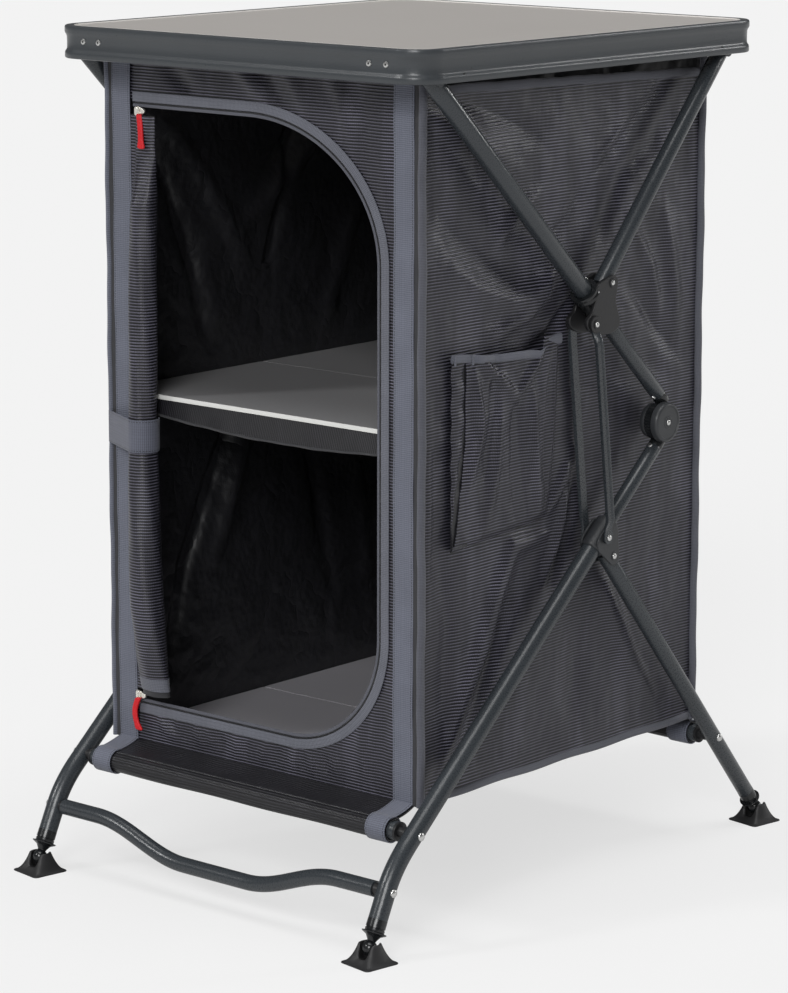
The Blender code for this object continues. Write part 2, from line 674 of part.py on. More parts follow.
def leg_bracket(name, x, parent):
    """A fixed sleeve on the front leg that carries the rear leg and, on studs, the links."""
    start = BRACKET_ALONG - BRACKET_AHEAD
    end = start + SLEEVE_L
    outline = hull([(REAR_LEG_PIN, PIN_BOSS), (on_leg(start + PLATE_R), PLATE_R),
                    (on_leg(end - PLATE_R), PLATE_R)], 14)
    body = clevis(name, x, on_leg(start), on_leg(end), outline, REAR_LEG_PIN)
    base, head = PLATE_FACE - JOIN, LINK_IN + LINK_T + FIT
    for face in (-1, 1):
        fuse(body, rod("stud", at(x + face * base, LINK_PIN), at(x + face * (head + JOIN), LINK_PIN),
                       PIN_R, 10))
        fuse(body, rod("head", at(x + face * head, LINK_PIN), at(x + face * (head + HEAD_H), LINK_PIN),
                       HEAD_R, 10, HEAD_R * HEAD_TAPER))
    link(body, parent, "black_plastic")


def link_bar(name, x, face, parent):
    """A flat bar beside the frame, on a stud at its lower eye and with a rivet's head at its upper one."""
    low, high = sorted((x + face * LINK_IN, x + face * (LINK_IN + LINK_T)))
    bar = plate(name, hull([(LINK_TOP, LINK_W / 2), (LINK_PIN, LINK_W / 2)], 12), low, high)
    for point in (LINK_TOP, LINK_PIN):
        fuse(bar, plate("eye", hull([(point, EYE_R)], 14), low, high))
    drilled(bar, LINK_PIN, x)
    outer = x + face * (LINK_IN + LINK_T - JOIN)
    fuse(bar, rod("head", at(outer, LINK_TOP), at(outer + face * (HEAD_H + JOIN), LINK_TOP),
                  HEAD_R, 10, HEAD_R * HEAD_TAPER))
    link(bar, parent, "anthracite")


def rear_leg(name, x, parent):
    tube = hollow(name, [at(x, REAR_LEG_PIN - REAR_LEG * TUBE_PAST), at(x, REAR_BALL - REAR_LEG * FOOT_L)],
                  REAR_R, TUBE_WALL)
    link(drilled(tube, REAR_LEG_PIN, x), parent, "anthracite")


# Cross bars and what is wrapped round them

def straight_bar(name, point, leg_r, parent):
    reach = FRAME_X - leg_r - FIT
    link(hollow(name, [at(-reach, point), at(reach, point)], BAR_R, TUBE_WALL), parent, "anthracite")


def wavy_bar(parent):
    """A stretcher low between the front legs that dips in its middle."""
    reach = FRAME_X - WIDE_R - FIT
    points = []
    for x in np.linspace(-reach, reach, 21):
        inward = min(1.0, max(0.0, (reach - abs(x) - WAVE_STRAIGHT) / WAVE_RUN))
        drop = WAVE_DROP * (0.5 - 0.5 * math.cos(math.pi * inward))
        points.append((x, WAVE_BAR.x, WAVE_BAR.y - drop))
    link(hollow("wavy_bar", points, WAVE_R, TUBE_WALL), parent, "anthracite")


def hem(name, bar, edge_y, turn, parent):
    """Fabric wrapped round a bar, with its free part running up to the fabric body's lower edge."""
    half = BAG_HALF_W - HEM_IN
    wrap = rod(name, at(-half, bar), at(half, bar), BAR_R + FIT + HEM_T, 24)
    edge = Vector((edge_y, BAG_BOTTOM - FIT - HEM_T))
    middle_r = BAR_R + FIT + HEM_T / 2
    span = edge - bar
    angle = math.atan2(span.y, span.x) + turn * math.acos(middle_r / span.length)
    start = bar + Vector((math.cos(angle), math.sin(angle))) * middle_r
    fuse(wrap, plate("free", hull([(start, HEM_T / 2), (edge, HEM_T / 2)], 8), -half, half))
    cut(wrap, rod("bore", at(-half - REACH, bar), at(half + REACH, bar), BAR_R + FIT, 24))
    link(wrap, parent, "fabric")


# Feet

def foot_plug(name, x, centre, along, tube_r, wall, parent):
    """A plug in the leg's end, a collar, a neck and the ball that the pad turns on."""
    end = centre - along * FOOT_L
    collar_end = end + along * COLLAR_T
    body = rod(name, at(x, end - along * FOOT_PLUG), at(x, collar_end), plug_radius(tube_r, wall), 18)
    fuse(body, rod("collar", at(x, end + along * FIT), at(x, collar_end), tube_r + COLLAR_OUT, 20))
    fuse(body, rod("neck", at(x, collar_end - along * JOIN), at(x, centre), NECK_R[0], 18, NECK_R[1]))
    fuse(body, ball("ball", at(x, centre), BALL_R))
    link(body, parent, "black_plastic")


def pad_outline(steps=6):
    """A square with its four sides drawn in by a shallow arc."""
    half = PAD_SIZE / 2
    points = []
    for turn in range(4):
        angle = math.pi / 2 * turn
        for step in range(steps):
            along = PAD_SIZE * step / steps - half
            depth = half - PAD_WAIST * math.sin(math.pi * step / steps)
            points.append((along * math.cos(angle) + depth * math.sin(angle),
                           along * math.sin(angle) - depth * math.cos(angle)))
    return points


def foot_pad(name, x, centre, parent):
    """A flared pad with a cup for the ball, open at its front and its rear, where the leg can lean."""
    body = laid(name, [(x + p[0], centre.x + p[1]) for p in pad_outline()], 0.0, PAD_T)
    fuse(body, rod("dome", (x, centre.x, PAD_T - JOIN), (x, centre.x, BALL_Z + PAD_RIM),
                   PAD_DOME_LOW, 24, PAD_DOME_R))
    cut(body, ball("cup", at(x, centre), BALL_R + FIT))
    cut(body, box("slot", (x - PAD_SLOT, centre.x - REACH, BALL_Z - PAD_RIM),
                  (x + PAD_SLOT, centre.x + REACH, BALL_Z + REACH)))
    link(body, parent, "rubber")


# Fabric body

def front_outline():
    """The door's D: straight on its hinge side, rounded at both right corners."""
    top_r, low_r = DOOR_TOP_R, DOOR_BOTTOM_R
    points = [(DOOR_LEFT, DOOR_BOTTOM)]
    points += arc((DOOR_RIGHT - low_r[0], DOOR_BOTTOM + low_r[1]), low_r, -90, 0)
    points += arc((DOOR_RIGHT - top_r[0], DOOR_TOP - top_r[1]), top_r, 0, 90)
    points.append((DOOR_LEFT, DOOR_TOP))
    return points


def grown(outline, amount):
    """The outline moved outwards along its normals, counter-clockwise points."""
    moved = []
    count = len(outline)
    for i in range(count):
        before, here, after = (Vector(outline[(i + k) % count]) for k in (-1, 0, 1))
        first, second = (here - before).normalized(), (after - here).normalized()
        bisector = Vector((first.y + second.y, -first.x - second.x)).normalized()
        moved.append(here + bisector * amount / bisector.dot(Vector((first.y, -first.x))))
    return moved


def upright(name, outline, y_low, y_high):
    """An outline in (x, z) between two y values."""
    standing = plate(name, outline, -y_high, -y_low)
    turn = Matrix(((0, 1, 0, 0), (-1, 0, 0, 0), (0, 0, 1, 0), (0, 0, 0, 1)))
    standing.data.transform(turn)
    return standing


def bag_panels():
    """Front panel with the door's opening, back panel and two side panels, clear of each other."""
    front = box("bag_front", (-BAG_HALF_W, BAG_FRONT, BAG_BOTTOM),
                (BAG_HALF_W, BAG_FRONT + FABRIC, BAG_TOP))
    cut(front, upright("door", front_outline(), BAG_FRONT - REACH, BAG_FRONT + REACH))
    link(front, colour="fabric")
    back = box("bag_back", (-BAG_HALF_W, BAG_BACK - FABRIC, BAG_BOTTOM),
               (BAG_HALF_W, BAG_BACK, BAG_TOP))
    link(back, colour="fabric")
    for side, name in ((-1, "bag_left"), (1, "bag_right")):
        low, high = sorted((side * BAG_HALF_W, side * (BAG_HALF_W - FABRIC)))
        link(box(name, (low, INNER_FRONT, BAG_BOTTOM), (high, INNER_BACK, BAG_TOP)), colour="fabric")


def webbing_straps():
    outer = BAG_HALF_W - WEBBING_IN
    y = BAG_FRONT - FIT
    for side, name in ((-1, "webbing_left"), (1, "webbing_right")):
        low, high = sorted((side * outer, side * (outer - WEBBING_W)))
        link(box(name, (low, y - WEBBING_T, BAG_BOTTOM), (high, y, BAG_TOP)), colour="webbing")


def side_pocket():
    """A flat patch pocket on the right side, open at its upper edge."""
    inner = BAG_HALF_W + FIT
    low = (inner, BAG_FRONT + POCKET_BACK, BAG_BOTTOM + POCKET_UP)
    high = (inner + POCKET_ROOM + FABRIC, low[1] + POCKET_W, low[2] + POCKET_H)
    pocket = box("side_pocket", low, high)
    room = box("room", (inner - REACH, low[1] + FABRIC, low[2] + FABRIC),
               (inner + POCKET_ROOM, high[1] - FABRIC, high[2] + REACH))
    link(cut(pocket, room), colour="fabric")


def zip_tape():
    """Tape on the front panel round the opening, without the door's hinge side."""
    y = BAG_FRONT - FIT
    start = max(HINGE_X, DOOR_LEFT + TAPE_IN)
    tape = upright("zip_tape", grown(front_outline(), TAPE_OUT), y - TAPE_T, y)
    cut(tape, upright("opening", grown(front_outline(), -TAPE_IN), y - REACH, y + REACH))
    cut(tape, box("hinge_side", (-BAG_HALF_W, y - REACH, BAG_BOTTOM), (start, y + REACH, BAG_TOP)))
    link(tape, colour="webbing")


def rolled_door():
    """The door rolled up beside its hinge side, with the flap that runs to the webbing's edge."""
    back = BAG_FRONT - FIT
    low, high = ROLL_Z
    roll = rod("rolled_door", (ROLL_X, back - ROLL_R, low), (ROLL_X, back - ROLL_R, high), ROLL_R, 20)
    link(fuse(roll, box("flap", (HINGE_X, back - FABRIC, low), (ROLL_X, back, high))), colour="fabric")


def roll_strap():
    """A strap from the webbing's outer edge round the rolled door and back to its flap."""
    centre = (ROLL_X, BAG_FRONT - FIT - ROLL_R)
    front = BAG_FRONT - FIT - WEBBING_T - FIT
    anchor = (WEBBING_IN + FIT + FABRIC - BAG_HALF_W, front - FABRIC)
    inner = ROLL_R + FIT
    strap = laid("roll_strap", hull([(centre, inner + FABRIC), (anchor, FABRIC)], 24), *STRAP_Z)
    room = hull([(centre, inner), ((anchor[0], front + REACH), FABRIC)], 24)
    cut(strap, laid("room", room, STRAP_Z[0] - REACH, STRAP_Z[1] + REACH))
    behind = box("behind", (-BAG_HALF_W, front, STRAP_Z[0] - REACH), (BAG_HALF_W, 0, STRAP_Z[1] + REACH))
    link(cut(strap, behind), colour="webbing")


def zip_set(which):
    """A stop on the zip's end, the slider beside it and the pull that hangs from the slider."""
    x = DOOR_LEFT + SLIDER_IN[which]
    if which == "top":
        z = DOOR_TOP - TAPE_IN - SLIDER_OFF
    else:
        z = DOOR_BOTTOM + TAPE_IN + SLIDER_OFF
    width, depth, height = SLIDER_SIZE
    back = BAG_FRONT - FIT - TAPE_T - FIT
    stop_x = x - width / 2 - FIT
    stop = box("zip_stop_" + which, (stop_x - STOP_W, back - STOP_T, z - height / 2),
               (stop_x, back, z + height / 2))
    link(stop, pivot("zip_stop_lift_" + which, x, (back, z)), "steel")
    body = box("zip_slider_" + which, (x - width / 2, back - depth, z - height / 2),
               (x + width / 2, back, z + height / 2), STOP_T / 2)
    link(body, pivot("zip_slide_" + which, x, (back, z)), "steel")
    face = back - depth - 2 * FIT
    top = z + height / 2 - PULL_HANG
    pull = box("zip_pull_" + which, (x - PULL_W / 2, face - PULL_T, top - PULL_L),
               (x + PULL_W / 2, face, top), PULL_T / 4)
    link(pull, pivot("zip_pull_axis_" + which, x, (face - PULL_T / 2, top - PULL_T / 2)), "red")


def board(name, top, thickness, parent):
    low = (-INNER_X, INNER_FRONT, top - thickness)
    link(box(name, low, (INNER_X, INNER_BACK, top)), parent, "board")


def shelf_sling(parent):
    """Fabric under the middle shelf with a short skirt at its front."""
    under = SHELF_TOP - SHELF_T - FIT
    sling = box("shelf_sling", (-INNER_X, INNER_FRONT, under - FABRIC), (INNER_X, INNER_BACK, under))
    skirt = box("skirt", (-INNER_X, INNER_FRONT, under - SKIRT_H),
                (INNER_X, INNER_FRONT + FABRIC, under - JOIN))
    link(fuse(sling, skirt), parent, "fabric")


# The whole cupboard, body by body

def build():
    table_rim()
    table_panel()
    rear_arms = pivot("rear_arm_axis", 0, REAR_PIVOT)
    hubs = pivot("hub_axis", 0, HUB_PIN)
    front_arms = pivot("front_arm_slide", 0, FRONT_PIVOT)
    front_legs = pivot("knuckle_axis", 0, KNUCKLE)
    rear_legs = pivot("rear_leg_axis", 0, REAR_LEG_PIN)
    links = pivot("link_axis", 0, LINK_PIN)
    shelf = pivot("shelf_slide", 0, (0, SHELF_TOP))
    base = pivot("base_slide", 0, (0, BASE_TOP))
    for side, hand in ((-1, "_left"), (1, "_right")):
        x = side * FRAME_X
        top_bracket("front_bracket" + hand, x, FRONT_PIVOT, WIDE_R, False)
        top_bracket("rear_bracket" + hand, x, REAR_PIVOT, REAR_R, True)
        rear_arm("rear_arm" + hand, x, rear_arms)
        hub("hub" + hand, x, hubs)
        front_arm("front_arm" + hand, x, front_arms)
        lock_button("lock_button" + hand, x, pivot("lock_button_slide" + hand, x, BUTTON))
        knuckle_half("knuckle_upper" + hand, x, ARM, ARM_N, KNUCKLE_ABOVE, True, front_arms)
        knuckle_half("knuckle_lower" + hand, x, -LEG, LEG_N, KNUCKLE_BELOW, False, front_legs)
        front_leg("front_leg" + hand, x, front_legs)
        leg_bracket("leg_bracket" + hand, x, front_legs)
        link_bar("link_outer" + hand, x, side, links)
        link_bar("link_inner" + hand, x, -side, links)
        rear_leg("rear_leg" + hand, x, rear_legs)
        foot_plug("front_foot" + hand, x, FRONT_BALL, FRONT_SHIN, WIDE_R, WIDE_WALL, front_legs)
        foot_plug("rear_foot" + hand, x, REAR_BALL, REAR_LEG, REAR_R, TUBE_WALL, rear_legs)
        foot_pad("front_pad" + hand, x, FRONT_BALL, pivot("front_pad_axis" + hand, x, FRONT_BALL))
        foot_pad("rear_pad" + hand, x, REAR_BALL, pivot("rear_pad_axis" + hand, x, REAR_BALL))
    straight_bar("front_bar", FRONT_BAR, WIDE_R, front_legs)
    straight_bar("rear_bar", REAR_BAR, REAR_R, rear_legs)
    wavy_bar(front_legs)
    hem("front_hem", FRONT_BAR, BAG_FRONT, 1, front_legs)
    hem("rear_hem", REAR_BAR, BAG_BACK, -1, rear_legs)
    bag_panels()
    webbing_straps()
    side_pocket()
    zip_tape()
    rolled_door()
    roll_strap()
    zip_set("top")
    zip_set("bottom")
    board("mid_shelf", SHELF_TOP, SHELF_T, shelf)
    shelf_sling(shelf)
    board("base_board", BASE_TOP, BASE_T, base)


build()
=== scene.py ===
# Folding camping cupboard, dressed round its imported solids. Metres, +Z up, the door faces -Y.
import math

import bmesh
import bpy
import numpy as np
from mathutils import Matrix


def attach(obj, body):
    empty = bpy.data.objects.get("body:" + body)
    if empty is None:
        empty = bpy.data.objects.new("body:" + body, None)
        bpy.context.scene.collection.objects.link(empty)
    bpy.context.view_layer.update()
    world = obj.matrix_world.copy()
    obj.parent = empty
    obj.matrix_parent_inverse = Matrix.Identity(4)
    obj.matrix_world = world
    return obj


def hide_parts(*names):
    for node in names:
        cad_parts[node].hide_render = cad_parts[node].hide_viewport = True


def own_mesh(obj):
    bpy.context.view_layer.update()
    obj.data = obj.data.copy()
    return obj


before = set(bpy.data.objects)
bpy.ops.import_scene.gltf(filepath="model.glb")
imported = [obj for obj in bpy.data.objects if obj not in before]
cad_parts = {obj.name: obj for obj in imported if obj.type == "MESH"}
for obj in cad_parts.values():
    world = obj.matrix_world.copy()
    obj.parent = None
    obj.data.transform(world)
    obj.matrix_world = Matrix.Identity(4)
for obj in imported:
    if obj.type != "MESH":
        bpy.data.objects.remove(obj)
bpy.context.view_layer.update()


# Floor, light and camera. A pale seamless floor, two soft lights in front of the door, a low one behind
# the right side and one overhead, and the photographer's long lens.

def wire(tree, kind, inputs=None, **settings):
    """Adds a node with these settings; an input is a number, a colour or the socket it is linked to."""
    made = tree.nodes.new(kind)
    for key, value in settings.items():
        setattr(made, key, value)
    for key, value in (inputs or {}).items():
        if isinstance(value, bpy.types.NodeSocket):
            tree.links.new(value, made.inputs[key])
        else:
            made.inputs[key].default_value = value
    return made


def sun(name, azimuth, elevation, strength, spread, colour=(1, 1, 1)):
    """A soft light from far away; azimuth 0 shines on the door and 90 on the right side."""
    light = bpy.data.lights.new(name, 'SUN')
    light.energy = strength
    light.angle = math.radians(spread)
    light.color = colour
    lamp = bpy.data.objects.new(name, light)
    lamp.rotation_euler = (math.radians(90 - elevation), 0, math.radians(azimuth))
    bpy.context.scene.collection.objects.link(lamp)


sun("left_front_softbox", -32, 35, 0.80, 10)
sun("right_front_softbox", 28, 28, 1.55, 24)
sun("right_rear_softbox", 152, 16, 0.42, 10)
sun("overhead_softbox", 60, 84, 1.75, 40)

PALE = 0.877
world = bpy.data.worlds.new("studio")
world.use_nodes = True
bpy.context.scene.world = world
tree = world.node_tree
tree.nodes.clear()
rays = wire(tree, "ShaderNodeLightPath")
shown = wire(tree, "ShaderNodeMath", {0: rays.outputs["Is Camera Ray"],
                                      1: rays.outputs["Is Transmission Ray"]},
             operation='MAXIMUM')
room = wire(tree, "ShaderNodeBackground", {"Color": (1, 1, 1, 1), "Strength": 0.12})
seen = wire(tree, "ShaderNodeBackground", {"Color": (PALE, PALE, PALE, 1), "Strength": 1.0})
both = wire(tree, "ShaderNodeMixShader", {0: shown.outputs[0], 1: room.outputs[0], 2: seen.outputs[0]})
wire(tree, "ShaderNodeOutputWorld", {"Surface": both.outputs[0]})

floor_paint = bpy.data.materials.new("studio_floor")
floor_paint.use_nodes = True
tree = floor_paint.node_tree
tree.nodes.clear()
rays = wire(tree, "ShaderNodeLightPath")
bounce = wire(tree, "ShaderNodeBsdfDiffuse", {"Color": (0.7, 0.7, 0.7, 1)})
matt = wire(tree, "ShaderNodeBsdfDiffuse", {"Color": (0.216, 0.216, 0.216, 1)})
glow = wire(tree, "ShaderNodeEmission", {"Color": (0.660, 0.660, 0.660, 1), "Strength": 1.0})
lit = wire(tree, "ShaderNodeAddShader", {0: matt.outputs[0], 1: glow.outputs[0]})
both = wire(tree, "ShaderNodeMixShader", {0: rays.outputs["Is Camera Ray"], 1: bounce.outputs[0],
                                          2: lit.outputs[0]})
wire(tree, "ShaderNodeOutputMaterial", {"Surface": both.outputs[0]})
floor_mesh = bpy.data.meshes.new("studio_floor")
floor_mesh.from_pydata([(-60, -60, 0), (60, -60, 0), (60, 60, 0), (-60, 60, 0)], [], [(0, 1, 2, 3)])
floor_mesh.materials.append(floor_paint)
floor = bpy.data.objects.new("studio_floor", floor_mesh)
bpy.context.scene.collection.objects.link(floor)

CAMERA_PLACE = (2.606, -3.0586, 1.223)
CAMERA_AZIMUTH, CAMERA_DOWN, CAMERA_ROLL = math.radians(40.63), math.radians(11.54), math.radians(0.11)
lens = bpy.data.cameras.new("camera")
lens.lens = 133.8
lens.sensor_width = 36
camera = bpy.data.objects.new("camera", lens)
camera.matrix_world = (Matrix.Translation(CAMERA_PLACE) @ Matrix.Rotation(CAMERA_AZIMUTH, 4, 'Z')
                       @ Matrix.Rotation(math.pi / 2 - CAMERA_DOWN, 4, 'X')
                       @ Matrix.Rotation(CAMERA_ROLL, 4, 'Z'))
bpy.context.scene.collection.objects.link(camera)
bpy.context.scene.camera = camera
bpy.context.scene.view_settings.view_transform = 'Standard'


# Tabletop: a grey laminate panel in an anthracite rim. The rim is one drawn section, bent round
# the corners, with its middle drawn in, and screwed to the frame near its front and rear corners.

def paint(name, colour, roughness, **sockets):
    """A new material; its tree and its shader, whose other sockets are given by name with _ for a space."""
    made = bpy.data.materials.new(name)
    made.use_nodes = True
    shader = made.node_tree.nodes["Principled BSDF"]
    shader.inputs["Base Color"].default_value = (*colour, 1)
    shader.inputs["Roughness"].default_value = roughness
    for key, value in sockets.items():
        shader.inputs[key.replace("_", " ")].default_value = value
    made.diffuse_color = (*colour, 1)
    return made, made.node_tree, shader


def calc(tree, operation, first, second=0.0, third=None):
    """The result of one sum on sockets or numbers."""
    inputs = {0: first, 1: second}
    if third is not None:
        inputs[2] = third
    return wire(tree, "ShaderNodeMath", inputs, operation=operation).outputs[0]


def blend_colour(tree, share, low, high):
    """The colour between two colours at a share of 0 to 1."""
    made = wire(tree, "ShaderNodeMix", {"Factor": share}, data_type='RGBA')
    for socket, value in ((made.inputs[6], low), (made.inputs[7], high)):
        if isinstance(value, bpy.types.NodeSocket):
            tree.links.new(value, socket)
        else:
            socket.default_value = (*value, 1)
    return made.outputs[2]


def speckle(tree, scale, detail=2.0, where=None):
    """Cloudy noise of a given scale on the object's own coordinates, or on others."""
    if where is None:
        where = wire(tree, "ShaderNodeTexCoord").outputs["Object"]
    return wire(tree, "ShaderNodeTexNoise", {"Vector": where, "Scale": scale, "Detail": detail}).outputs[0]


def tint(tree, shader, share, low, high):
    """Drives the base colour between two colours."""
    tree.links.new(blend_colour(tree, share, low, high), shader.inputs["Base Color"])


def uneven_gloss(tree, shader, share, spread, start):
    """Drives the roughness from a start up by a spread."""
    tree.links.new(calc(tree, 'MULTIPLY_ADD', share, spread, start), shader.inputs["Roughness"])


def shade(colour, factor):
    return tuple(c * factor for c in colour)


def grain(tree, shader, height, distance, strength=0.5):
    """Fine relief on the shader's normal."""
    bump = wire(tree, "ShaderNodeBump", {"Height": height, "Distance": distance, "Strength": strength})
    tree.links.new(bump.outputs[0], shader.inputs["Normal"])


def powder_coat(name, colour, roughness):
    """Baked powder paint: a fine orange peel and a faint unevenness in colour and gloss."""
    made, tree, shader = paint(name, colour, roughness, Specular_IOR_Level=0.5)
    clouds = speckle(tree, 14.0, 3.0)
    tint(tree, shader, clouds, shade(colour, 0.88), shade(colour, 1.14))
    peel = speckle(tree, 620.0, 2.0)
    uneven_gloss(tree, shader, peel, 0.12, roughness - 0.06)
    grain(tree, shader, peel, 0.0004, 0.35)
    return made


def grid_of(*parts):
    """The parts of a grid's coordinates, each stretched to the whole grid."""
    return np.stack(np.broadcast_arrays(*parts), -1)


def skin(points, rows=False, columns=True, slot=0, flat=None):
    """A grid of points, whether its rows and its columns close up, its material and its flat coordinates."""
    return points, rows, columns, slot, flat


def piece(name, skins, materials, body, node=None, crease=40.0):
    """One object on a body, made of grids of points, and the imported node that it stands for. Points that lie
    on each other are merged, which closes seams and poles, and the faces are turned outwards."""
    points, faces, slots, flats = [], [], [], []
    count = 0
    for grid, close_rows, close_columns, slot, flat in skins:
        rows, columns = grid.shape[:2]
        r, c = np.meshgrid(np.arange(rows - (not close_rows)), np.arange(columns - (not close_columns)),
                           indexing="ij")
        r2, c2 = (r + 1) % rows, (c + 1) % columns
        quads = np.stack([r * columns + c, r * columns + c2, r2 * columns + c2, r2 * columns + c], -1)
        faces.append(quads.reshape(-1, 4) + count)
        slots.append(np.full(quads.shape[0] * quads.shape[1], slot))
        points.append(grid.reshape(-1, 3))
        flats.append(np.zeros((rows * columns, 2)) if flat is None else flat.reshape(-1, 2))
        count += rows * columns
    points, faces, flats = np.concatenate(points), np.concatenate(faces), np.concatenate(flats)
    mesh = bpy.data.meshes.new(name)
    mesh.from_pydata(points, [], faces)
    layer = mesh.uv_layers.new(name="flat")
    layer.data.foreach_set("uv", flats[faces.reshape(-1)].reshape(-1))
    mesh.polygons.foreach_set("material_index", np.concatenate(slots).astype(np.int32))
    shape = bmesh.new()
    shape.from_mesh(mesh)
    bmesh.ops.remove_doubles(shape, verts=shape.verts, dist=1e-6)
    bmesh.ops.recalc_face_normals(shape, faces=shape.faces)
    shape.to_mesh(mesh)
    shape.free()
    mesh.shade_smooth()
    mesh.set_sharp_from_angle(angle=math.radians(crease))
    for material in materials:
        mesh.materials.append(material)
    made = bpy.data.objects.new(name, mesh)
    bpy.context.scene.collection.objects.link(made)
    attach(made, body)
    if node:
        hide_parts(node)
    return made


def rounded_rectangle(width, depth, radius, steps=10):
    """Corner by corner round a rectangle, counter-clockwise."""
    angle = np.linspace(0, math.pi / 2, steps + 1)
    points = []
    for turn, (sx, sy) in enumerate(((1, 1), (-1, 1), (-1, -1), (1, -1))):
        points.append(np.stack([sx * (width / 2 - radius) + radius * np.cos(angle + turn * math.pi / 2),
                                sy * (depth / 2 - radius) + radius * np.sin(angle + turn * math.pi / 2)], -1))
    return np.concatenate(points)


def turned(profile, origin, axis, steps=32):
    """A profile of (radius, distance along the axis) turned round an axis; a radius of 0 closes it."""
    radius, along = np.asarray(profile, float).T
    axis = np.asarray(axis, float) / np.linalg.norm(axis)
    side = np.cross(axis, (0.0, 0.0, 1.0) if abs(axis[2]) < 0.9 else (1.0, 0.0, 0.0))
    side /= np.linalg.norm(side)
    other = np.cross(axis, side)
    angle = np.arange(steps) * 2 * math.pi / steps
    ring = np.cos(angle)[:, None] * side + np.sin(angle)[:, None] * other
    return np.asarray(origin) + along[:, None, None] * axis + radius[:, None, None] * ring


def dome(radius, height, steps=5):
    """The profile of a low round head, from its foot to its middle."""
    rise = np.linspace(0, math.pi / 2, steps)
    return [(0.0, 0.0), (radius, 0.0)] + [(radius * math.cos(a), height * (0.25 + 0.75 * math.sin(a)))
                                          for a in rise]


coat = powder_coat("powder_coat", (0.030, 0.035, 0.040), 0.28)
rim_coat = powder_coat("rim_powder_coat", (0.044, 0.049, 0.054), 0.30)

TABLE_W, TABLE_D, TABLE_CORNER, TABLE_Y = 0.520, 0.580, 0.036, 0.0054


def table_loop(section):
    """A section of (inset from the tabletop's edge, height) carried round the tabletop."""
    rings = [np.column_stack([rounded_rectangle(TABLE_W - 2 * inset, TABLE_D - 2 * inset,
                                                TABLE_CORNER - inset, 16),
                              np.full(68, z)]) for inset, z in section]
    return skin(np.array(rings) + (0, TABLE_Y, 0), rows=True)


rim_section = [
    (0.0046, 0.8922), (0.0014, 0.8920), (0.0004, 0.8925), (0.0, 0.8936), (0.0001, 0.8978), (0.0006, 0.8996),
    (0.0018, 0.9010), (0.0024, 0.9030), (0.0025, 0.9095), (0.0023, 0.9150), (0.0016, 0.9172),
    (0.0006, 0.9186), (0.0, 0.9204), (0.0001, 0.9250), (0.0006, 0.9264), (0.0018, 0.9270), (0.0094, 0.9269),
    (0.0100, 0.9264), (0.0100, 0.9253), (0.0045, 0.9253), (0.0045, 0.9162), (0.0140, 0.9162),
    (0.0140, 0.9147), (0.0045, 0.9147)]
piece("rim", [table_loop(rim_section)], [rim_coat], "tabletop", "table_rim", 32)

laminate, tree, shader = paint("tabletop_laminate", (0.408, 0.386, 0.366), 0.42)
flecks = speckle(tree, 900.0, 3.0)
drift = speckle(tree, 5.0, 2.0)
tone = calc(tree, 'MULTIPLY_ADD', flecks, 0.35, calc(tree, 'MULTIPLY', drift, 0.5))
tint(tree, shader, tone, (0.384, 0.363, 0.343), (0.436, 0.414, 0.393))
uneven_gloss(tree, shader, flecks, 0.16, 0.36)
grain(tree, shader, flecks, 0.0002, 0.3)
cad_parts["table_panel"].data.materials.clear()
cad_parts["table_panel"].data.materials.append(laminate)

bead_paint, tree, shader = paint("panel_bead", (0.62, 0.60, 0.57), 0.35)
grain(tree, shader, speckle(tree, 700.0), 0.0002, 0.2)
bead_section = [(0.0101, 0.9251), (0.0101, 0.9266), (0.0105, 0.9270), (0.0111, 0.9268), (0.0115, 0.9256)]
piece("panel_bead", [table_loop(bead_section)], [bead_paint], "tabletop")

steel, tree, shader = paint("steel", (0.62, 0.62, 0.61), 0.28, Metallic=1.0)
scratches = speckle(tree, 480.0, 3.0)
uneven_gloss(tree, shader, scratches, 0.22, 0.18)
grain(tree, shader, scratches, 0.0001, 0.2)
# Black for the screws' recesses and the rim's holes: painted shade where there is only a hollow.
hole_shade_black, tree, shader = paint("painted_recess_shade", (0.004, 0.004, 0.005), 0.6)
grain(tree, shader, speckle(tree, 300.0), 0.0002, 0.3)


def screw(place, out, radius=0.0028, height=0.0012):
    """A countersunk screw: a low head with a turned rim and a small round recess, and a black disc in the
    recess, painted shade for the hole.
    """
    out = np.asarray(out, float)
    head = [(0.0, -0.001), (radius, -0.001), (radius, 0.0003), (radius * 0.86, height * 0.8),
            (radius * 0.6, height), (radius * 0.36, height), (radius * 0.30, height * 0.35),
            (0.0, height * 0.3)]
    recess = [(0.0, 0.0), (radius * 0.3, 0.0), (radius * 0.3, height * 0.4), (0.0, height * 0.4)]
    return skin(turned(head, place, out, 20)), skin(turned(recess, place, out, 12), slot=1)


screws, slots = [], []
for end in (-1, 1):
    for x in (-0.2125, -0.1900, 0.1900, 0.2125):
        screws += screw((x, TABLE_Y + end * (TABLE_D / 2 - 0.0024), 0.9110), (0, end, 0), 0.0034, 0.0014)
# Small black discs, flush in the rim's sides: painted shade for holes there.
for side in (-1, 1):
    for y in (-0.217, 0.002, 0.222):
        slots.append(skin(turned([(0.0, -0.0004), (0.0013, -0.0004), (0.0013, 0.0002), (0.0, 0.0002)],
                                 (side * 0.2592, y, 0.9002), (side, 0, 0), 16)))
piece("rim_screws", screws, [steel, hole_shade_black], "tabletop")
piece("rim_slots", slots, [hole_shade_black], "tabletop")


# Side frames: two crossed, sliding linkages of coated steel tube. A wide tube carries a thin one in
# its end; every tube is drawn round, and the front legs are bent towards the floor.

def across(degrees):
    """The unit vector (y, z) at an angle in the side plane."""
    return np.array([math.cos(math.radians(degrees)), math.sin(math.radians(degrees))])


def upright_of(vector):
    return np.array([-vector[1], vector[0]])


def at(x, point):
    return np.array([x, point[0], point[1]])


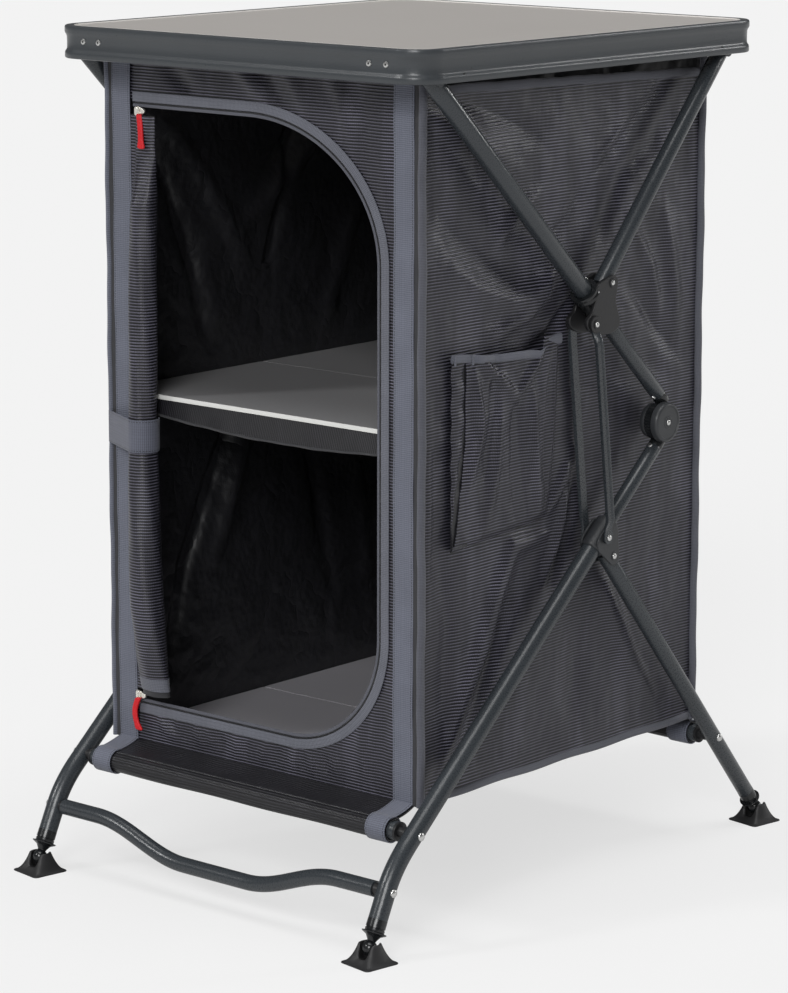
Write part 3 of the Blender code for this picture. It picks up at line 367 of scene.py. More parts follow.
HANDS = ((-1, "left"), (1, "right"))
RIGHT, FRONT, UP = (1, 0, 0), (0, -1, 0), (0, 0, 1)
FRAME_X = 0.2415
WIDE, THIN, REAR = 0.01025, 0.00825, 0.0090
FRONT_TOP, REAR_TOP = np.array([-0.2471, 0.8950]), np.array([0.2434, 0.8950])
KNUCKLE = np.array([0.139609, 0.497743])
ARM, LEG = across(-43.6), across(220.8)
ARM_UP, LEG_DOWN = upright_of(ARM), upright_of(LEG)
LEG_OFFSET, BALL_DROP = 0.0175, 0.0240


def on_arm(along, up=0.0):
    return FRONT_TOP + ARM * along + ARM_UP * up


def on_leg(along, down=0.0):
    return KNUCKLE + LEG * along + LEG_DOWN * (down + LEG_OFFSET)


HUB_PIN, LINK_TOP = on_arm(0.365, 0.027), on_arm(0.371, -0.024)
LINK_PIN, REAR_LEG_PIN = on_leg(0.153, -0.003), on_leg(0.157, 0.024)
FRONT_BALL, REAR_BALL = np.array([-0.3398, 0.0165]), np.array([0.3398, 0.0165])
BEND = on_leg(0.600)


def toward(start, end):
    return (end - start) / np.linalg.norm(end - start)


SHIN, REAR_LEG = toward(BEND, FRONT_BALL), toward(REAR_LEG_PIN, REAR_BALL)
REAR_ARM = toward(HUB_PIN, REAR_TOP)


def tube(path, radii, side, steps=36):
    """A round skin along a path in one plane, whose normal is side: each ring is the path's point plus
    cos of side and sin of the path's own upright, times the radius there. A radius of 0 closes it."""
    path, radii = np.asarray(path, float), np.asarray(radii, float)
    along = np.gradient(path, axis=0)
    moves = np.linalg.norm(along, axis=1)
    along = along[moves > 0][np.minimum(np.cumsum(moves > 0), np.count_nonzero(moves > 0)) - 1]
    along /= np.linalg.norm(along, axis=1)[:, None]
    upright = np.cross(along, side)
    angle = np.arange(steps) * 2 * math.pi / steps
    return (path[:, None] + radii[:, None, None] * (np.cos(angle)[None, :, None] * np.asarray(side, float)
                                                    + np.sin(angle)[None, :, None] * upright[:, None]))


def straight(start, end, radius, lip=0.0006):
    """A straight tube with its two ends rounded over and closed."""
    length = np.linalg.norm(end - start)
    profile = [(0.0, 0.0), (radius - 2 * lip, 0.0), (radius - lip * 0.3, lip * 0.3), (radius, lip),
               (radius, length - lip), (radius - lip * 0.3, length - lip * 0.3), (radius - 2 * lip, length),
               (0.0, length)]
    return turned(profile, start, end - start, 36)


bend = np.linspace(0, 1, 15)[:, None]
before, after = BEND - LEG * 0.030, BEND + SHIN * 0.024
curve = before * (1 - bend) ** 2 + BEND * 2 * bend * (1 - bend) + after * bend ** 2
leg_start = on_leg(0.141)
leg_line = np.concatenate([[leg_start, leg_start, leg_start + LEG * 0.0006], curve,
                           [FRONT_BALL - SHIN * (BALL_DROP + 0.0006), FRONT_BALL - SHIN * BALL_DROP,
                            FRONT_BALL - SHIN * BALL_DROP]])
leg_radii = [0.0, WIDE - 0.0010] + [WIDE] * (len(leg_line) - 4) + [WIDE - 0.0010, 0.0]


def side_tube(x, start, end, radius, slot=0):
    """A straight tube between two points of a side plane."""
    return skin(straight(at(x, start), at(x, end), radius), slot=slot)


for side, hand in HANDS:
    x = side * FRAME_X
    line = np.column_stack([np.full(len(leg_line), x), leg_line])
    for name, skins in (
            ("front_arm", [side_tube(x, on_arm(-0.005), on_arm(0.371), WIDE),
                           side_tube(x, on_arm(0.366), on_arm(0.5322), THIN)]),
            ("rear_arm", [side_tube(x, REAR_TOP + REAR_ARM * 0.005, HUB_PIN - REAR_ARM * 0.005, REAR)]),
            ("front_leg", [skin(tube(line, leg_radii, RIGHT)),
                           side_tube(x, on_leg(0.0232), on_leg(0.146), THIN)]),
            ("rear_leg", [side_tube(x, REAR_LEG_PIN - REAR_LEG * 0.005, REAR_BALL - REAR_LEG * BALL_DROP,
                                    REAR)])):
        piece("%s_tube_%s" % (name, hand), skins, [coat], name + "s",
              "%s_%s" % (name, hand))


# Hubs and leg brackets: black nylon sleeves on the wide tubes with two plates each, riveted through
# with domed steel rivets in raised black rings. The hub's upper end is flared and polished by sliding.

def plastic(name, colour, roughness, scale=420.0):
    """Moulded nylon: a fine spark-eroded grain and slightly uneven gloss."""
    made, tree, shader = paint(name, colour, roughness)
    fine = speckle(tree, scale, 3.0)
    uneven_gloss(tree, shader, fine, 0.16, roughness - 0.08)
    clouds = speckle(tree, 30.0, 2.0)
    tint(tree, shader, clouds, shade(colour, 0.8), shade(colour, 1.25))
    grain(tree, shader, fine, 0.0003, 0.3)
    return made


nylon = plastic("nylon_matt", (0.0095, 0.0095, 0.0105), 0.46)
nylon_gloss = plastic("nylon_polished", (0.0085, 0.0095, 0.0105), 0.24, 200.0)
nylon_grey = plastic("nylon_grey", (0.026, 0.028, 0.031), 0.44)


def round_outline(circles, steps=96):
    """The outline round a set of circles ((y, z), radius), and its outward normals: for every direction
    the point of the circle that reaches farthest."""
    angle = np.arange(steps) * 2 * math.pi / steps
    normal = np.stack([np.cos(angle), np.sin(angle)], -1)
    reach = np.stack([normal @ np.asarray(c, float) + r for c, r in circles])
    best = reach.argmax(0)
    centres = np.array([c for c, r in circles])[best]
    radii = np.array([r for c, r in circles])[best]
    return centres + normal * radii[:, None], normal


def slab(outline, normal, low, high, edge):
    """A plate in the side plane between two x values, its edges rounded by a quarter circle."""
    turn = np.linspace(0, math.pi / 2, 4)
    insets = np.concatenate([[1.5 * edge], edge * (1 - np.sin(turn)), edge * (1 - np.sin(turn[::-1])),
                             [1.5 * edge]])
    places = np.concatenate([[low], low + edge * (1 - np.cos(turn)), high - edge * (1 - np.cos(turn[::-1])),
                             [high]])
    rings = [np.column_stack([np.full(len(outline), x), outline - normal * inset])
             for inset, x in zip(insets, places)]
    ends = [np.tile(ring.mean(0), (len(outline), 1)) for ring in (rings[0], rings[-1])]
    return np.array([ends[0]] + rings + [ends[1]])


def sleeve(start, end, bore, outer, flare=0.0):
    """A thick-walled ring along a tube with rounded lips, its first end flared in two beads."""
    length = np.linalg.norm(end - start)
    profile = [(bore, 0.0012), (bore + 0.0004, 0.0), (outer + flare - 0.0008, 0.0), (outer + flare, 0.0010),
               (outer + flare, 0.0038), (outer + flare * 0.45, 0.0052), (outer + flare * 0.85, 0.0068),
               (outer + flare * 0.85, 0.0088), (outer, 0.0104), (outer, length - 0.0012),
               (outer - 0.0010, length), (bore + 0.0002, length), (bore, length - 0.0008)]
    return turned(profile, start, end - start, 40)


def rivet(place, out, radius=0.0044, height=0.0022):
    return skin(turned(dome(radius, height, 6), place, out, 24))


def ring(place, out, outer, inner, height):
    """A raised round collar with a soft edge."""
    profile = [(inner, -0.0004), (inner, height * 0.8), (inner + 0.0003, height), (outer - 0.0005, height),
               (outer, height * 0.6), (outer, -0.0004)]
    return skin(turned(profile, place, out, 28), rows=True)


def smooth_loop(corners, rounds=3):
    """A closed line whose corners are cut to their quarter points, round after round, and its outward
    normals."""
    points = np.asarray(corners, float)
    for _ in range(rounds):
        ahead = np.roll(points, -1, 0)
        points = np.stack([points * 0.75 + ahead * 0.25, points * 0.25 + ahead * 0.75], 1).reshape(-1, 2)
    way = np.roll(points, -1, 0) - np.roll(points, 1, 0)
    return points, np.stack([way[:, 1], -way[:, 0]], -1) / np.linalg.norm(way, axis=1)[:, None]


hub_plate = smooth_loop([(0.0280, 0.6685), (0.0180, 0.6660), (0.0090, 0.6610), (0.0050, 0.6540),
                         (0.0080, 0.6460), (0.0040, 0.6370), (0.0010, 0.6320), (-0.0070, 0.6270),
                         (-0.0060, 0.6170), (0.0070, 0.6110), (0.0180, 0.6085), (0.0300, 0.6080),
                         (0.0450, 0.6105), (0.0520, 0.6180), (0.0470, 0.6310), (0.0420, 0.6420),
                         (0.0450, 0.6550), (0.0470, 0.6650), (0.0400, 0.6720)])
PLATE_IN, BRACKET_OUT, HUB_OUT = 0.0094, 0.0124, 0.0142
bracket_plate = round_outline([(REAR_LEG_PIN, 0.0095), (on_leg(0.1425), 0.0115), (on_leg(0.1595), 0.0115)])
for side, hand in HANDS:
    x = side * FRAME_X
    hub_skins = [skin(sleeve(at(x, on_arm(0.3455)), at(x, on_arm(0.388)), 0.0105, 0.0136, 0.0022),
                      rows=True, slot=1)]
    bracket_skins = [skin(sleeve(at(x, on_leg(0.131)), at(x, on_leg(0.171)), 0.0105, 0.0122, 0.0004),
                          rows=True)]
    hub_rings, hub_rivets, bracket_rings, bracket_rivets = [], [], [], []
    for face in (-1, 1):
        low, high = sorted((x + face * PLATE_IN, x + face * BRACKET_OUT))
        hub_skins.append(skin(slab(*hub_plate, *sorted((x + face * PLATE_IN, x + face * HUB_OUT)), 0.0009)))
        bracket_skins.append(skin(slab(*bracket_plate, low, high, 0.0009)))
        out = (face, 0, 0)
        hub_rings.append(ring(at(x + face * HUB_OUT, HUB_PIN), out, 0.0050, 0.0028, 0.0012))
        hub_rivets.append(rivet(at(x + face * HUB_OUT, HUB_PIN), out, 0.0030, 0.0020))
        bracket_rings.append(ring(at(x + face * BRACKET_OUT, REAR_LEG_PIN), out, 0.0050, 0.0030, 0.0008))
        bracket_rivets.append(rivet(at(x + face * BRACKET_OUT, REAR_LEG_PIN), out, 0.0032, 0.0020))
        bracket_rivets.append(rivet(at(x + face * 0.0164, LINK_PIN), out, 0.0034, 0.0020))
    piece("hub_moulding_" + hand, hub_skins + hub_rings, [nylon, nylon_gloss], "hubs",
          "hub_" + hand, 35)
    piece("hub_rivets_" + hand, hub_rivets, [steel], "hubs")
    piece("bracket_moulding_" + hand, bracket_skins + bracket_rings, [nylon_grey], "front_legs",
          "leg_bracket_" + hand, 35)
    piece("bracket_rivets_" + hand, bracket_rivets, [steel], "front_legs")
    button = at(x, on_arm(0.3405))
    up = at(0, ARM_UP)
    head = [(0, 0), (0.0030, 0), (0.0030, 0.0118), (0.0027, 0.0124), (0.0018, 0.0129), (0, 0.01305)]
    piece("lock_button_head_" + hand, [skin(turned(head, button, up, 24))], [steel], "button_" + hand,
          "lock_button_" + hand)
    lip = [(0.0031, 0.0098), (0.0031, 0.0108), (0.0042, 0.0108), (0.0046, 0.0101), (0.0044, 0.0096)]
    piece("lock_button_ring_" + hand, [skin(turned(lip, button, up, 24), rows=True)], [nylon],
          "front_arms")


# Knuckles: where the front arm folds on the front leg. Two grey nylon discs with raised rims hold a
# black, ribbed disc between them, and a small screw fixes each tube in its socket.

def disc(place, out, radius, low, high, dished):
    """A disc between two distances along an axis; its outer face is sunk inside a raised, rounded rim."""
    sunk = high - dished
    profile = [(0.0, low), (radius - 0.0006, low), (radius, low + 0.0006), (radius, high - 0.0034),
               (radius - 0.0005, high - 0.0018), (radius - 0.0016, high - 0.0005), (radius - 0.0026, high),
               (radius - 0.0036, high), (radius - 0.0042, sunk), (0.0072, sunk),
               (0.0066, high - dished * 0.3), (0.0052, high - dished * 0.3), (0.0046, sunk - 0.0006),
               (0.0, sunk - 0.0006)]
    return skin(turned(profile, place, out, 56))


def milled(place, out, radius, low, high, teeth=36):
    """A disc whose edge is cut into fine teeth: the radius swings with the angle."""
    angle = np.arange(teeth * 4) * 2 * math.pi / (teeth * 4)
    swing = 0.0006 * np.cos(angle * teeth)
    middle, face, edge = 0 * swing, radius - 0.0016 + 0 * swing, radius + swing
    radii = np.stack([middle, face, edge, edge, face, middle])
    places = np.array([low, low, low + 0.0008, high - 0.0008, high, high])
    circle = np.stack([0 * angle, np.cos(angle), np.sin(angle)], -1)
    return skin(np.asarray(place) + radii[:, :, None] * circle + places[:, None, None]
                * np.asarray(out, float))


for side, hand in HANDS:
    x = side * FRAME_X
    centre = at(x, KNUCKLE)
    cheeks, rivets = [], []
    for face in (-1, 1):
        out = np.array([face, 0, 0])
        outer = face == side
        high = 0.0148 if outer else 0.0124
        cheeks.append(disc(centre, out, 0.0220 if outer else 0.0190, 0.0057, high, 0.0008))
        cheeks.append(ring(centre + out * (high - 0.0008), out, 0.0050, 0.0030, 0.0010))
        rivets.append(rivet(centre + out * (high - 0.0006), out, 0.0031, 0.0020))
    foot = KNUCKLE + ARM_UP * 0.021
    cheeks.append(side_tube(x, foot - ARM * 0.0225, foot - ARM * 0.010, THIN - 0.0002, 1))
    piece("knuckle_cheeks_" + hand, cheeks, [nylon_grey, nylon_gloss], "front_arms",
          "knuckle_upper_" + hand, 35)
    screw_place = at(x, foot - ARM * 0.0255 - ARM_UP * (THIN - 0.0004))
    piece("knuckle_rivets_" + hand, rivets + list(screw(screw_place, at(0, -ARM_UP), 0.0030, 0.0014)),
          [steel, hole_shade_black], "front_arms")
    foot = KNUCKLE + LEG_DOWN * LEG_OFFSET
    middle = [milled(centre, RIGHT, 0.0197, -0.0050, 0.0050),
              side_tube(x, foot + LEG * 0.0245, foot + LEG * 0.012, THIN - 0.0002)]
    piece("knuckle_middle_" + hand, middle, [nylon_gloss], "front_legs",
          "knuckle_lower_" + hand, 35)
    screw_place = at(x, foot + LEG * 0.0265 - LEG_DOWN * (THIN - 0.0004))
    piece("knuckle_screw_" + hand, list(screw(screw_place, at(0, -LEG_DOWN), 0.0030, 0.0014)),
          [steel, hole_shade_black], "front_legs")


# Links: pressed steel bars beside each frame between hub and leg bracket. The bar's long edges are
# turned up, and both ends are flat eyes, set in from the middle of the bar.

LINK_LENGTH = float(np.linalg.norm(LINK_PIN - LINK_TOP))
link_way = toward(LINK_TOP, LINK_PIN)
link_across = upright_of(link_way)


def link_skin(x, face, joggle):
    """Rows run from eye to eye; each is a closed section of (across, outward) points whose width follows the
    eyes' circles and whose edges rise once the bar has stepped outwards."""
    eye, half = 0.0072, 0.0055
    along = np.concatenate([eye * -np.cos(np.linspace(0, math.pi / 2, 9)),
                            np.linspace(0.0015, LINK_LENGTH - 0.0015, 70),
                            LINK_LENGTH + eye * np.sin(np.linspace(0, math.pi / 2, 9))])
    near = np.minimum(along, LINK_LENGTH - along)
    width = np.where(near < 0, np.sqrt(np.maximum(eye ** 2 - near ** 2, 0)),
                     half + (eye - half) * np.exp(-(np.maximum(near, 0) / 0.0065) ** 2))
    step = np.clip((near - 0.008) / 0.014, 0, 1)
    step = step * step * (3 - 2 * step)
    set_out, edge = joggle * step, 0.0016 * step
    u = np.array([-1, -1, -0.94, -0.80, -0.70, -0.60, 0, 0.60, 0.70, 0.80, 0.94, 1, 1, 0.9, 0, -0.9])
    rise = np.array([0.3, 0.9, 1, 1, 0.4, 0, 0, 0, 0.4, 1, 1, 0.9, 0.3, 0, 0, 0])
    base = np.array([0.4, 1, 1, 1, 1, 1, 1, 1, 1, 1, 1, 1, 0.4, 0, 0, 0]) * 0.0026
    out = 0.0137 + set_out[:, None] + base[None] + edge[:, None] * rise[None]
    places = LINK_TOP + along[:, None] * link_way
    plane = places[:, None] + (width[:, None] * u[None])[..., None] * link_across
    return np.concatenate([(x + face * out)[..., None], plane], -1)


for side, hand in HANDS:
    x = side * FRAME_X
    for where, face in (("outer", side), ("inner", -side)):
        piece("link_" + where + "_pressing_" + hand,
              [skin(link_skin(x, face, 0.0034 if where == "outer" else 0.0008))], [coat], "links",
              "link_" + where + "_" + hand, 30)
        out = (face, 0, 0)
        lobe = [(0, 0.0128), (0.0088, 0.0128), (0.0092, 0.0134), (0.0092, 0.0172), (0.0086, 0.0178),
                (0.0050, 0.0178), (0.0050, 0.0186), (0.0030, 0.0186), (0.0030, 0.0180), (0, 0.0180)]
        collar = [skin(turned(lobe, at(x, LINK_TOP), out, 32))]
        piece("link_" + where + "_collar_" + hand, collar, [nylon], "links")
        piece("link_" + where + "_rivet_" + hand,
              [rivet(at(x + face * 0.0179, LINK_TOP), out, 0.0030, 0.0020)], [steel], "links")


# Cross bars: a straight tube at the front and at the rear inside the fabric's lower edges, on dark
# spacers, and a waved tube low between the front legs. Domed bolts hold them from outside the legs.

FRONT_BAR = on_leg(0.557)
REAR_BAR = REAR_LEG_PIN + REAR_LEG * 0.321
WAVE_BAR = BEND + SHIN * 0.0247
BAR = 0.0100


def bar_skins(point, leg):
    """A bar between the legs and, at both ends, its plug and a thinner spacer."""
    end, reach = 0.2230, FRAME_X - leg + 0.002
    skins = [skin(straight(at(-end, point), at(end, point), BAR, 0.0005))]
    for side in (-1, 1):
        profile = [(0, end - 0.002), (BAR + 0.0004, end - 0.002), (BAR + 0.0006, end - 0.0012),
                   (BAR + 0.0004, end + 0.0008), (0.0062, end + 0.0012), (0.0060, reach), (0, reach)]
        skins.append(skin(turned(profile, at(0, point), (side, 0, 0), 32), slot=1))
    return skins


for name, node, body, point, leg in (("front_bar_tube", "front_bar", "front_legs", FRONT_BAR, WIDE),
                                     ("rear_bar_tube", "rear_bar", "rear_legs", REAR_BAR, REAR)):
    piece(name, bar_skins(point, leg), [coat, nylon], body, node)

reach = FRAME_X - WIDE - 0.0040
x = np.linspace(-reach, reach, 81)
inward = np.clip((reach + 0.0037 - np.abs(x) - 0.055) / 0.130, 0, 1)
wave = np.column_stack([x, np.full(81, WAVE_BAR[0]),
                        WAVE_BAR[1] - 0.030 * (0.5 - 0.5 * np.cos(math.pi * inward))])
wave = np.concatenate([wave[:1], wave[:1], wave, wave[-1:], wave[-1:]])
radii = np.array([0.0, 0.0079] + [0.0085] * 81 + [0.0079, 0.0])
wave_skins = [skin(tube(wave, radii, (0, 1, 0)))]
for side in (-1, 1):
    wave_skins.append(skin(turned([(0, reach - 0.001), (0.0066, reach - 0.001), (0.0062, reach + 0.002),
                                   (0.0060, reach + 0.006), (0, reach + 0.006)], at(0, WAVE_BAR),
                                   (side, 0, 0), 24), slot=1))
piece("wavy_bar_tube", wave_skins, [coat, nylon], "front_legs", "wavy_bar")

for name, body, points in (("front_bolts", "front_legs", ((FRONT_BAR, WIDE), (WAVE_BAR, WIDE))),
                           ("rear_bolts", "rear_legs", ((REAR_BAR, REAR),))):
    bolts = []
    for side in (-1, 1):
        for point, leg in points:
            bolts.append(rivet(at(side * (FRAME_X + leg - 0.0006), point), (side, 0, 0), 0.0046, 0.0030))
    piece(name, bolts, [steel], body)


# Feet: a ball on a flanged nylon plug in each leg's end, in a black rubber pad. The pad is a square,
# turned a little, that sweeps up to a cup with a deep U-shaped opening at the front.

rubber, tree, shader = paint("pad_rubber", (0.013, 0.013, 0.014), 0.50)
fine = speckle(tree, 350.0, 4.0)
uneven_gloss(tree, shader, fine, 0.30, 0.40)
tint(tree, shader, speckle(tree, 45.0), (0.009, 0.009, 0.010), (0.019, 0.019, 0.020))
grain(tree, shader, fine, 0.0005, 0.35)


def pad_skin(x, y):
    """Rows run from the middle of the underside out to the tip line, up the flank to the cup's rim and down
    inside it; columns are angles. The tip line's radius is that of a turned square with rounded corners, and
    the rim dips by a flat-bottomed bump round the front and, less, round the rear."""
    angle = np.arange(120) * 2 * math.pi / 120
    own = angle + math.radians(9)
    square = 0.0222 / np.maximum(np.abs(np.cos(own)), np.abs(np.sin(own)))
    tip = np.minimum(square, 0.0295 - 0.0020 * np.abs(np.cos(2 * own)))
    away = np.abs((angle + math.radians(94) + math.pi) % (2 * math.pi) - math.pi)
    arch = np.exp(-(away / 0.78) ** 4) + 0.55 * np.exp(-((math.pi - away) / 0.50) ** 4)
    top = 0.0212 - 0.0152 * arch
    rim_out, rim_in = 0.0122 + 0.0016 * arch, 0.0098 + 0.0012 * arch
    rows = [(0 * tip, 0 * tip), (tip * 0.9, 0 * tip), (tip - 0.0006, 0 * tip), (tip, 0 * tip + 0.0006),
            (tip - 0.0004, 0 * tip + 0.0013)]
    for t in np.linspace(0.10, 1, 12):
        rows.append((tip + (rim_out - tip) * t ** 0.80, 0.0013 + (top - 0.0013) * t ** 1.6))
    rows.append(((rim_out + rim_in) / 2, top + 0.0007))
    rows.append((rim_in, top))
    for t in (0.35, 0.7, 1.0):
        rows.append((rim_in - (rim_in - 0.0075) * t ** 2, top + (0.0048 - top) * t))
    rows.append((0 * tip, 0 * tip + 0.0040))
    return np.stack([np.stack([x + r * np.cos(angle), y + r * np.sin(angle), z], -1) for r, z in rows])


def foot_skins(x, ball, along, leg):
    """Ring on the tube's end, body, thin flange with a turned lip, waisted neck and ball."""
    profile = [(0, -0.006), (leg + 0.0001, -0.006), (leg + 0.0002, 0.0026), (leg - 0.0006, 0.0030),
               (leg - 0.0006, 0.0036), (leg + 0.0002, 0.0040), (leg + 0.0001, 0.0070),
               (leg - 0.0002, 0.0078), (leg + 0.0016, 0.0080), (leg + 0.0026, 0.0072),
               (leg + 0.0030, 0.0076), (leg + 0.0027, 0.0086), (leg + 0.0008, 0.0096),
               (leg - 0.0024, 0.0112), (0.0062, 0.0138), (0.0050, 0.0156), (0.0048, 0.0168)]
    end = at(x, ball - along * BALL_DROP)
    rise = np.linspace(0.66 * math.pi / 2, -math.pi / 2, 12)
    sphere = [(0.0080 * math.cos(a), BALL_DROP - 0.0080 * math.sin(a)) for a in rise]
    return skin(turned(profile + sphere, end, at(0, along), 36))


for side, hand in HANDS:
    x = side * FRAME_X
    for where, body, ball, along, leg in (("front", "front_legs", FRONT_BALL, SHIN, WIDE),
                                          ("rear", "rear_legs", REAR_BALL, REAR_LEG, REAR)):
        piece("%s_foot_plug_%s" % (where, hand), [foot_skins(x, ball, along, leg)], [nylon_gloss], body,
              "%s_foot_%s" % (where, hand), 35)
        pad_node = "%s_pad_%s" % (where, hand)
        piece("%s_pad_rubber_%s" % (where, hand), [skin(pad_skin(x, ball[0]))], [rubber], pad_node,
              pad_node, 50)


# Brackets under the tabletop keep their solids and get the frame's powder coat.

for name in ("front_bracket_left", "front_bracket_right", "rear_bracket_left", "rear_bracket_right"):
    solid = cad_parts[name]
    solid.data.materials.clear()
    solid.data.materials.append(coat)


# Fabric body: polyester with pale raised ribs on black, coated black inside. Four panels hang from the
# tabletop's frame, with pulled folds between the seams.

RIB = 0.00328
BAG_X, BAG_FRONT, BAG_BACK, BAG_TOP, BAG_FOOT = 0.2205, -0.2376, 0.2399, 0.9162, 0.1400
SHELF_Z = 0.529


def ribbed_cloth(name, pale, dark, turn=False, roughness=0.37):
    """Ribs along one flat direction, crossed by fine threads that break the pale yarn into dots, with tall
    streaks of painted highlight on the pale ribs, and the sharp creases of a coated cloth: the noise's
    distance from its middle value."""
    made, tree, shader = paint(name, pale, roughness, Specular_IOR_Level=0.42)
    flat = wire(tree, "ShaderNodeUVMap", uv_map="flat").outputs[0]
    split = wire(tree, "ShaderNodeSeparateXYZ", {0: flat})
    u, v = split.outputs[1 if turn else 0], split.outputs[0 if turn else 1]
    place = wire(tree, "ShaderNodeTexCoord").outputs["Object"]
    clouds = speckle(tree, 9.0, 3.0, place)
    rib = calc(tree, 'SINE', calc(tree, 'MULTIPLY', v, 2 * math.pi / RIB))
    cross = calc(tree, 'SINE', calc(tree, 'MULTIPLY', u, 2 * math.pi / (RIB * 0.62)))
    line = wire(tree, "ShaderNodeMapRange", {0: rib, 1: 0.05, 2: 0.80, 3: 0.0, 4: 1.0},
                interpolation_type='SMOOTHSTEP')
    dots = calc(tree, 'MULTIPLY_ADD', cross, 0.16, 0.80)
    wear = calc(tree, 'MULTIPLY_ADD', clouds, 0.70, 0.62)
    # Painted highlight: a slow noise, stretched up and down, brightens the pale ribs in tall streaks that
    # stand in for sheen on the coated cloth.
    tall = wire(tree, "ShaderNodeVectorMath", {0: place, 1: (34, 34, 9)}, operation='MULTIPLY').outputs[0]
    painted_sheen_streaks = wire(tree, "ShaderNodeMapRange", {0: speckle(tree, 1.0, 2.0, tall), 1: 0.50, 2: 0.66, 3: 0.75,
                                              4: 1.25})
    share = calc(tree, 'MULTIPLY', calc(tree, 'MULTIPLY', line.outputs[0], dots), wear)
    share = calc(tree, 'MULTIPLY', share, painted_sheen_streaks.outputs[0])
    tint(tree, shader, share, dark, pale)
    height = calc(tree, 'MULTIPLY_ADD', cross, 0.25, rib)
    creases = calc(tree, 'ABSOLUTE', calc(tree, 'SUBTRACT', speckle(tree, 13.0, 3.0, place), 0.5))
    grain(tree, shader, calc(tree, 'MULTIPLY_ADD', creases, 22.0, height), 0.00018, 0.7)
    return made


cloth_rib = ribbed_cloth("ribbed_cloth", (0.138, 0.134, 0.178), (0.0045, 0.0045, 0.0062))
lining, tree, shader = paint("satin_lining", (0.016, 0.016, 0.019), 0.36)
crumple = speckle(tree, 9.0, 4.0)
sharp = calc(tree, 'ABSOLUTE', calc(tree, 'SUBTRACT', crumple, 0.5))
tint(tree, shader, crumple, (0.0110, 0.0110, 0.0130), (0.0220, 0.0220, 0.0250))
grain(tree, shader, calc(tree, 'MULTIPLY_ADD', speckle(tree, 600.0), 0.01, sharp), 0.030, 0.8)


def fold(a, b, line, width, height, skew=0.35):
    """A pulled fold's height at every (a, b): a bell across the polyline, one flank steeper by skew, and
    fading out at both ends."""
    line = np.asarray(line, float)
    step = np.diff(line, axis=0)
    length = np.linalg.norm(step, axis=1)
    total = length.sum()
    begun = np.concatenate([[0], np.cumsum(length)[:-1]])
    best = np.full(a.shape, 1e9)
    along = np.zeros(a.shape)
    hand = np.ones(a.shape)
    for start, move, size, before in zip(line[:-1], step, length, begun):
        t = ((a - start[0]) * move[0] + (b - start[1]) * move[1]) / size ** 2
        s = np.clip(t, 0, 1)
        da, db = a - start[0] - s * move[0], b - start[1] - s * move[1]
        far = np.hypot(da, db)
        near = far < best
        best = np.where(near, far, best)
        along = np.where(near, before + s * size, along)
        hand = np.where(near, np.sign(move[0] * db - move[1] * da), hand)
    across = hand * best / width
    fade = np.sin(math.pi * np.clip(along / total * 0.9 + 0.05, 0, 1)) ** 0.7
    return 1.6 * height * fade * np.exp(-(1.15 * across) ** 2) * (1 + 1.3 * skew * across)


def folded(lift, a, b, folds):
    """The height with pulled folds added, each given by its line, width and height in millimetres and
    by its skew."""
    for line, width, height, skew in folds:
        lift = lift + fold(a, b, np.array(line) / 1000, width / 1000, height / 1000, skew)
    return lift


def slack(a, b, seed, count, low, high, height):
    """The cloth's own unevenness: waves of seeded directions and lengths, each bent by a slower one and
    brought to a crease along its crest."""
    draw = np.random.default_rng(seed)
    total = np.zeros(a.shape)
    for _ in range(count):
        angle, size, phase = draw.uniform(0, math.pi), draw.uniform(low, high), draw.uniform(0, 2 * math.pi)
        aslant = a * math.cos(angle + 1.2) + b * math.sin(angle + 1.2)
        slow = 1.6 * np.sin(2 * math.pi * aslant / (size * 2.3) + phase)
        turn = 2 * math.pi * (a * math.cos(angle) + b * math.sin(angle)) / size + phase + slow
        total += 0.5 * np.sin(turn) + 0.5 * (1 - 2 * np.abs(np.sin(turn / 2)))
    return height * total / math.sqrt(count)


def near_edge(a, b, low, high, band):
    """0 on the edges of a rectangle, rising to 1 within a band."""
    far = np.minimum(np.minimum(a - low[0], high[0] - a), np.minimum(b - low[1], high[1] - b))
    t = np.clip(far / band, 0, 1)
    return t * t * (3 - 2 * t)


def shell(face, flat, thickness, outward, columns=False):
    """Two faces of a cloth and its cut edges. The inner face lies along the normal, the cross product of the
    grid's two directions, behind the outer one."""
    def change(axis, loops):
        if loops:
            return np.roll(face, -1, axis) - np.roll(face, 1, axis)
        return np.gradient(face, axis=axis)
    normal = np.cross(change(0, False), change(1, columns))
    normal /= np.linalg.norm(normal, axis=-1)[..., None]
    if (normal.reshape(-1, 3) @ np.asarray(outward, float)).mean() < 0:
        normal = -normal
    back = face - normal * thickness
    skins = [skin(face, columns=columns, flat=flat), skin(back, columns=columns, slot=1, flat=flat)]
    for row in (0, -1):
        skins.append(skin(np.stack([face[row], back[row]]), columns=columns,
                          flat=np.stack([flat[row], flat[row]])))
    if not columns:
        for column in (0, -1):
            skins.append(skin(np.stack([face[:, column], back[:, column]]), columns=False,
                              flat=np.stack([flat[:, column], flat[:, column]])))
    return skins


def hung(name, skins, materials, node=None, crease=40.0):
    """A soft piece of the fabric body, on the tabletop, with a mesh of its own."""
    made = piece(name, skins, materials, "tabletop", node, crease)
    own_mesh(made)
    return made


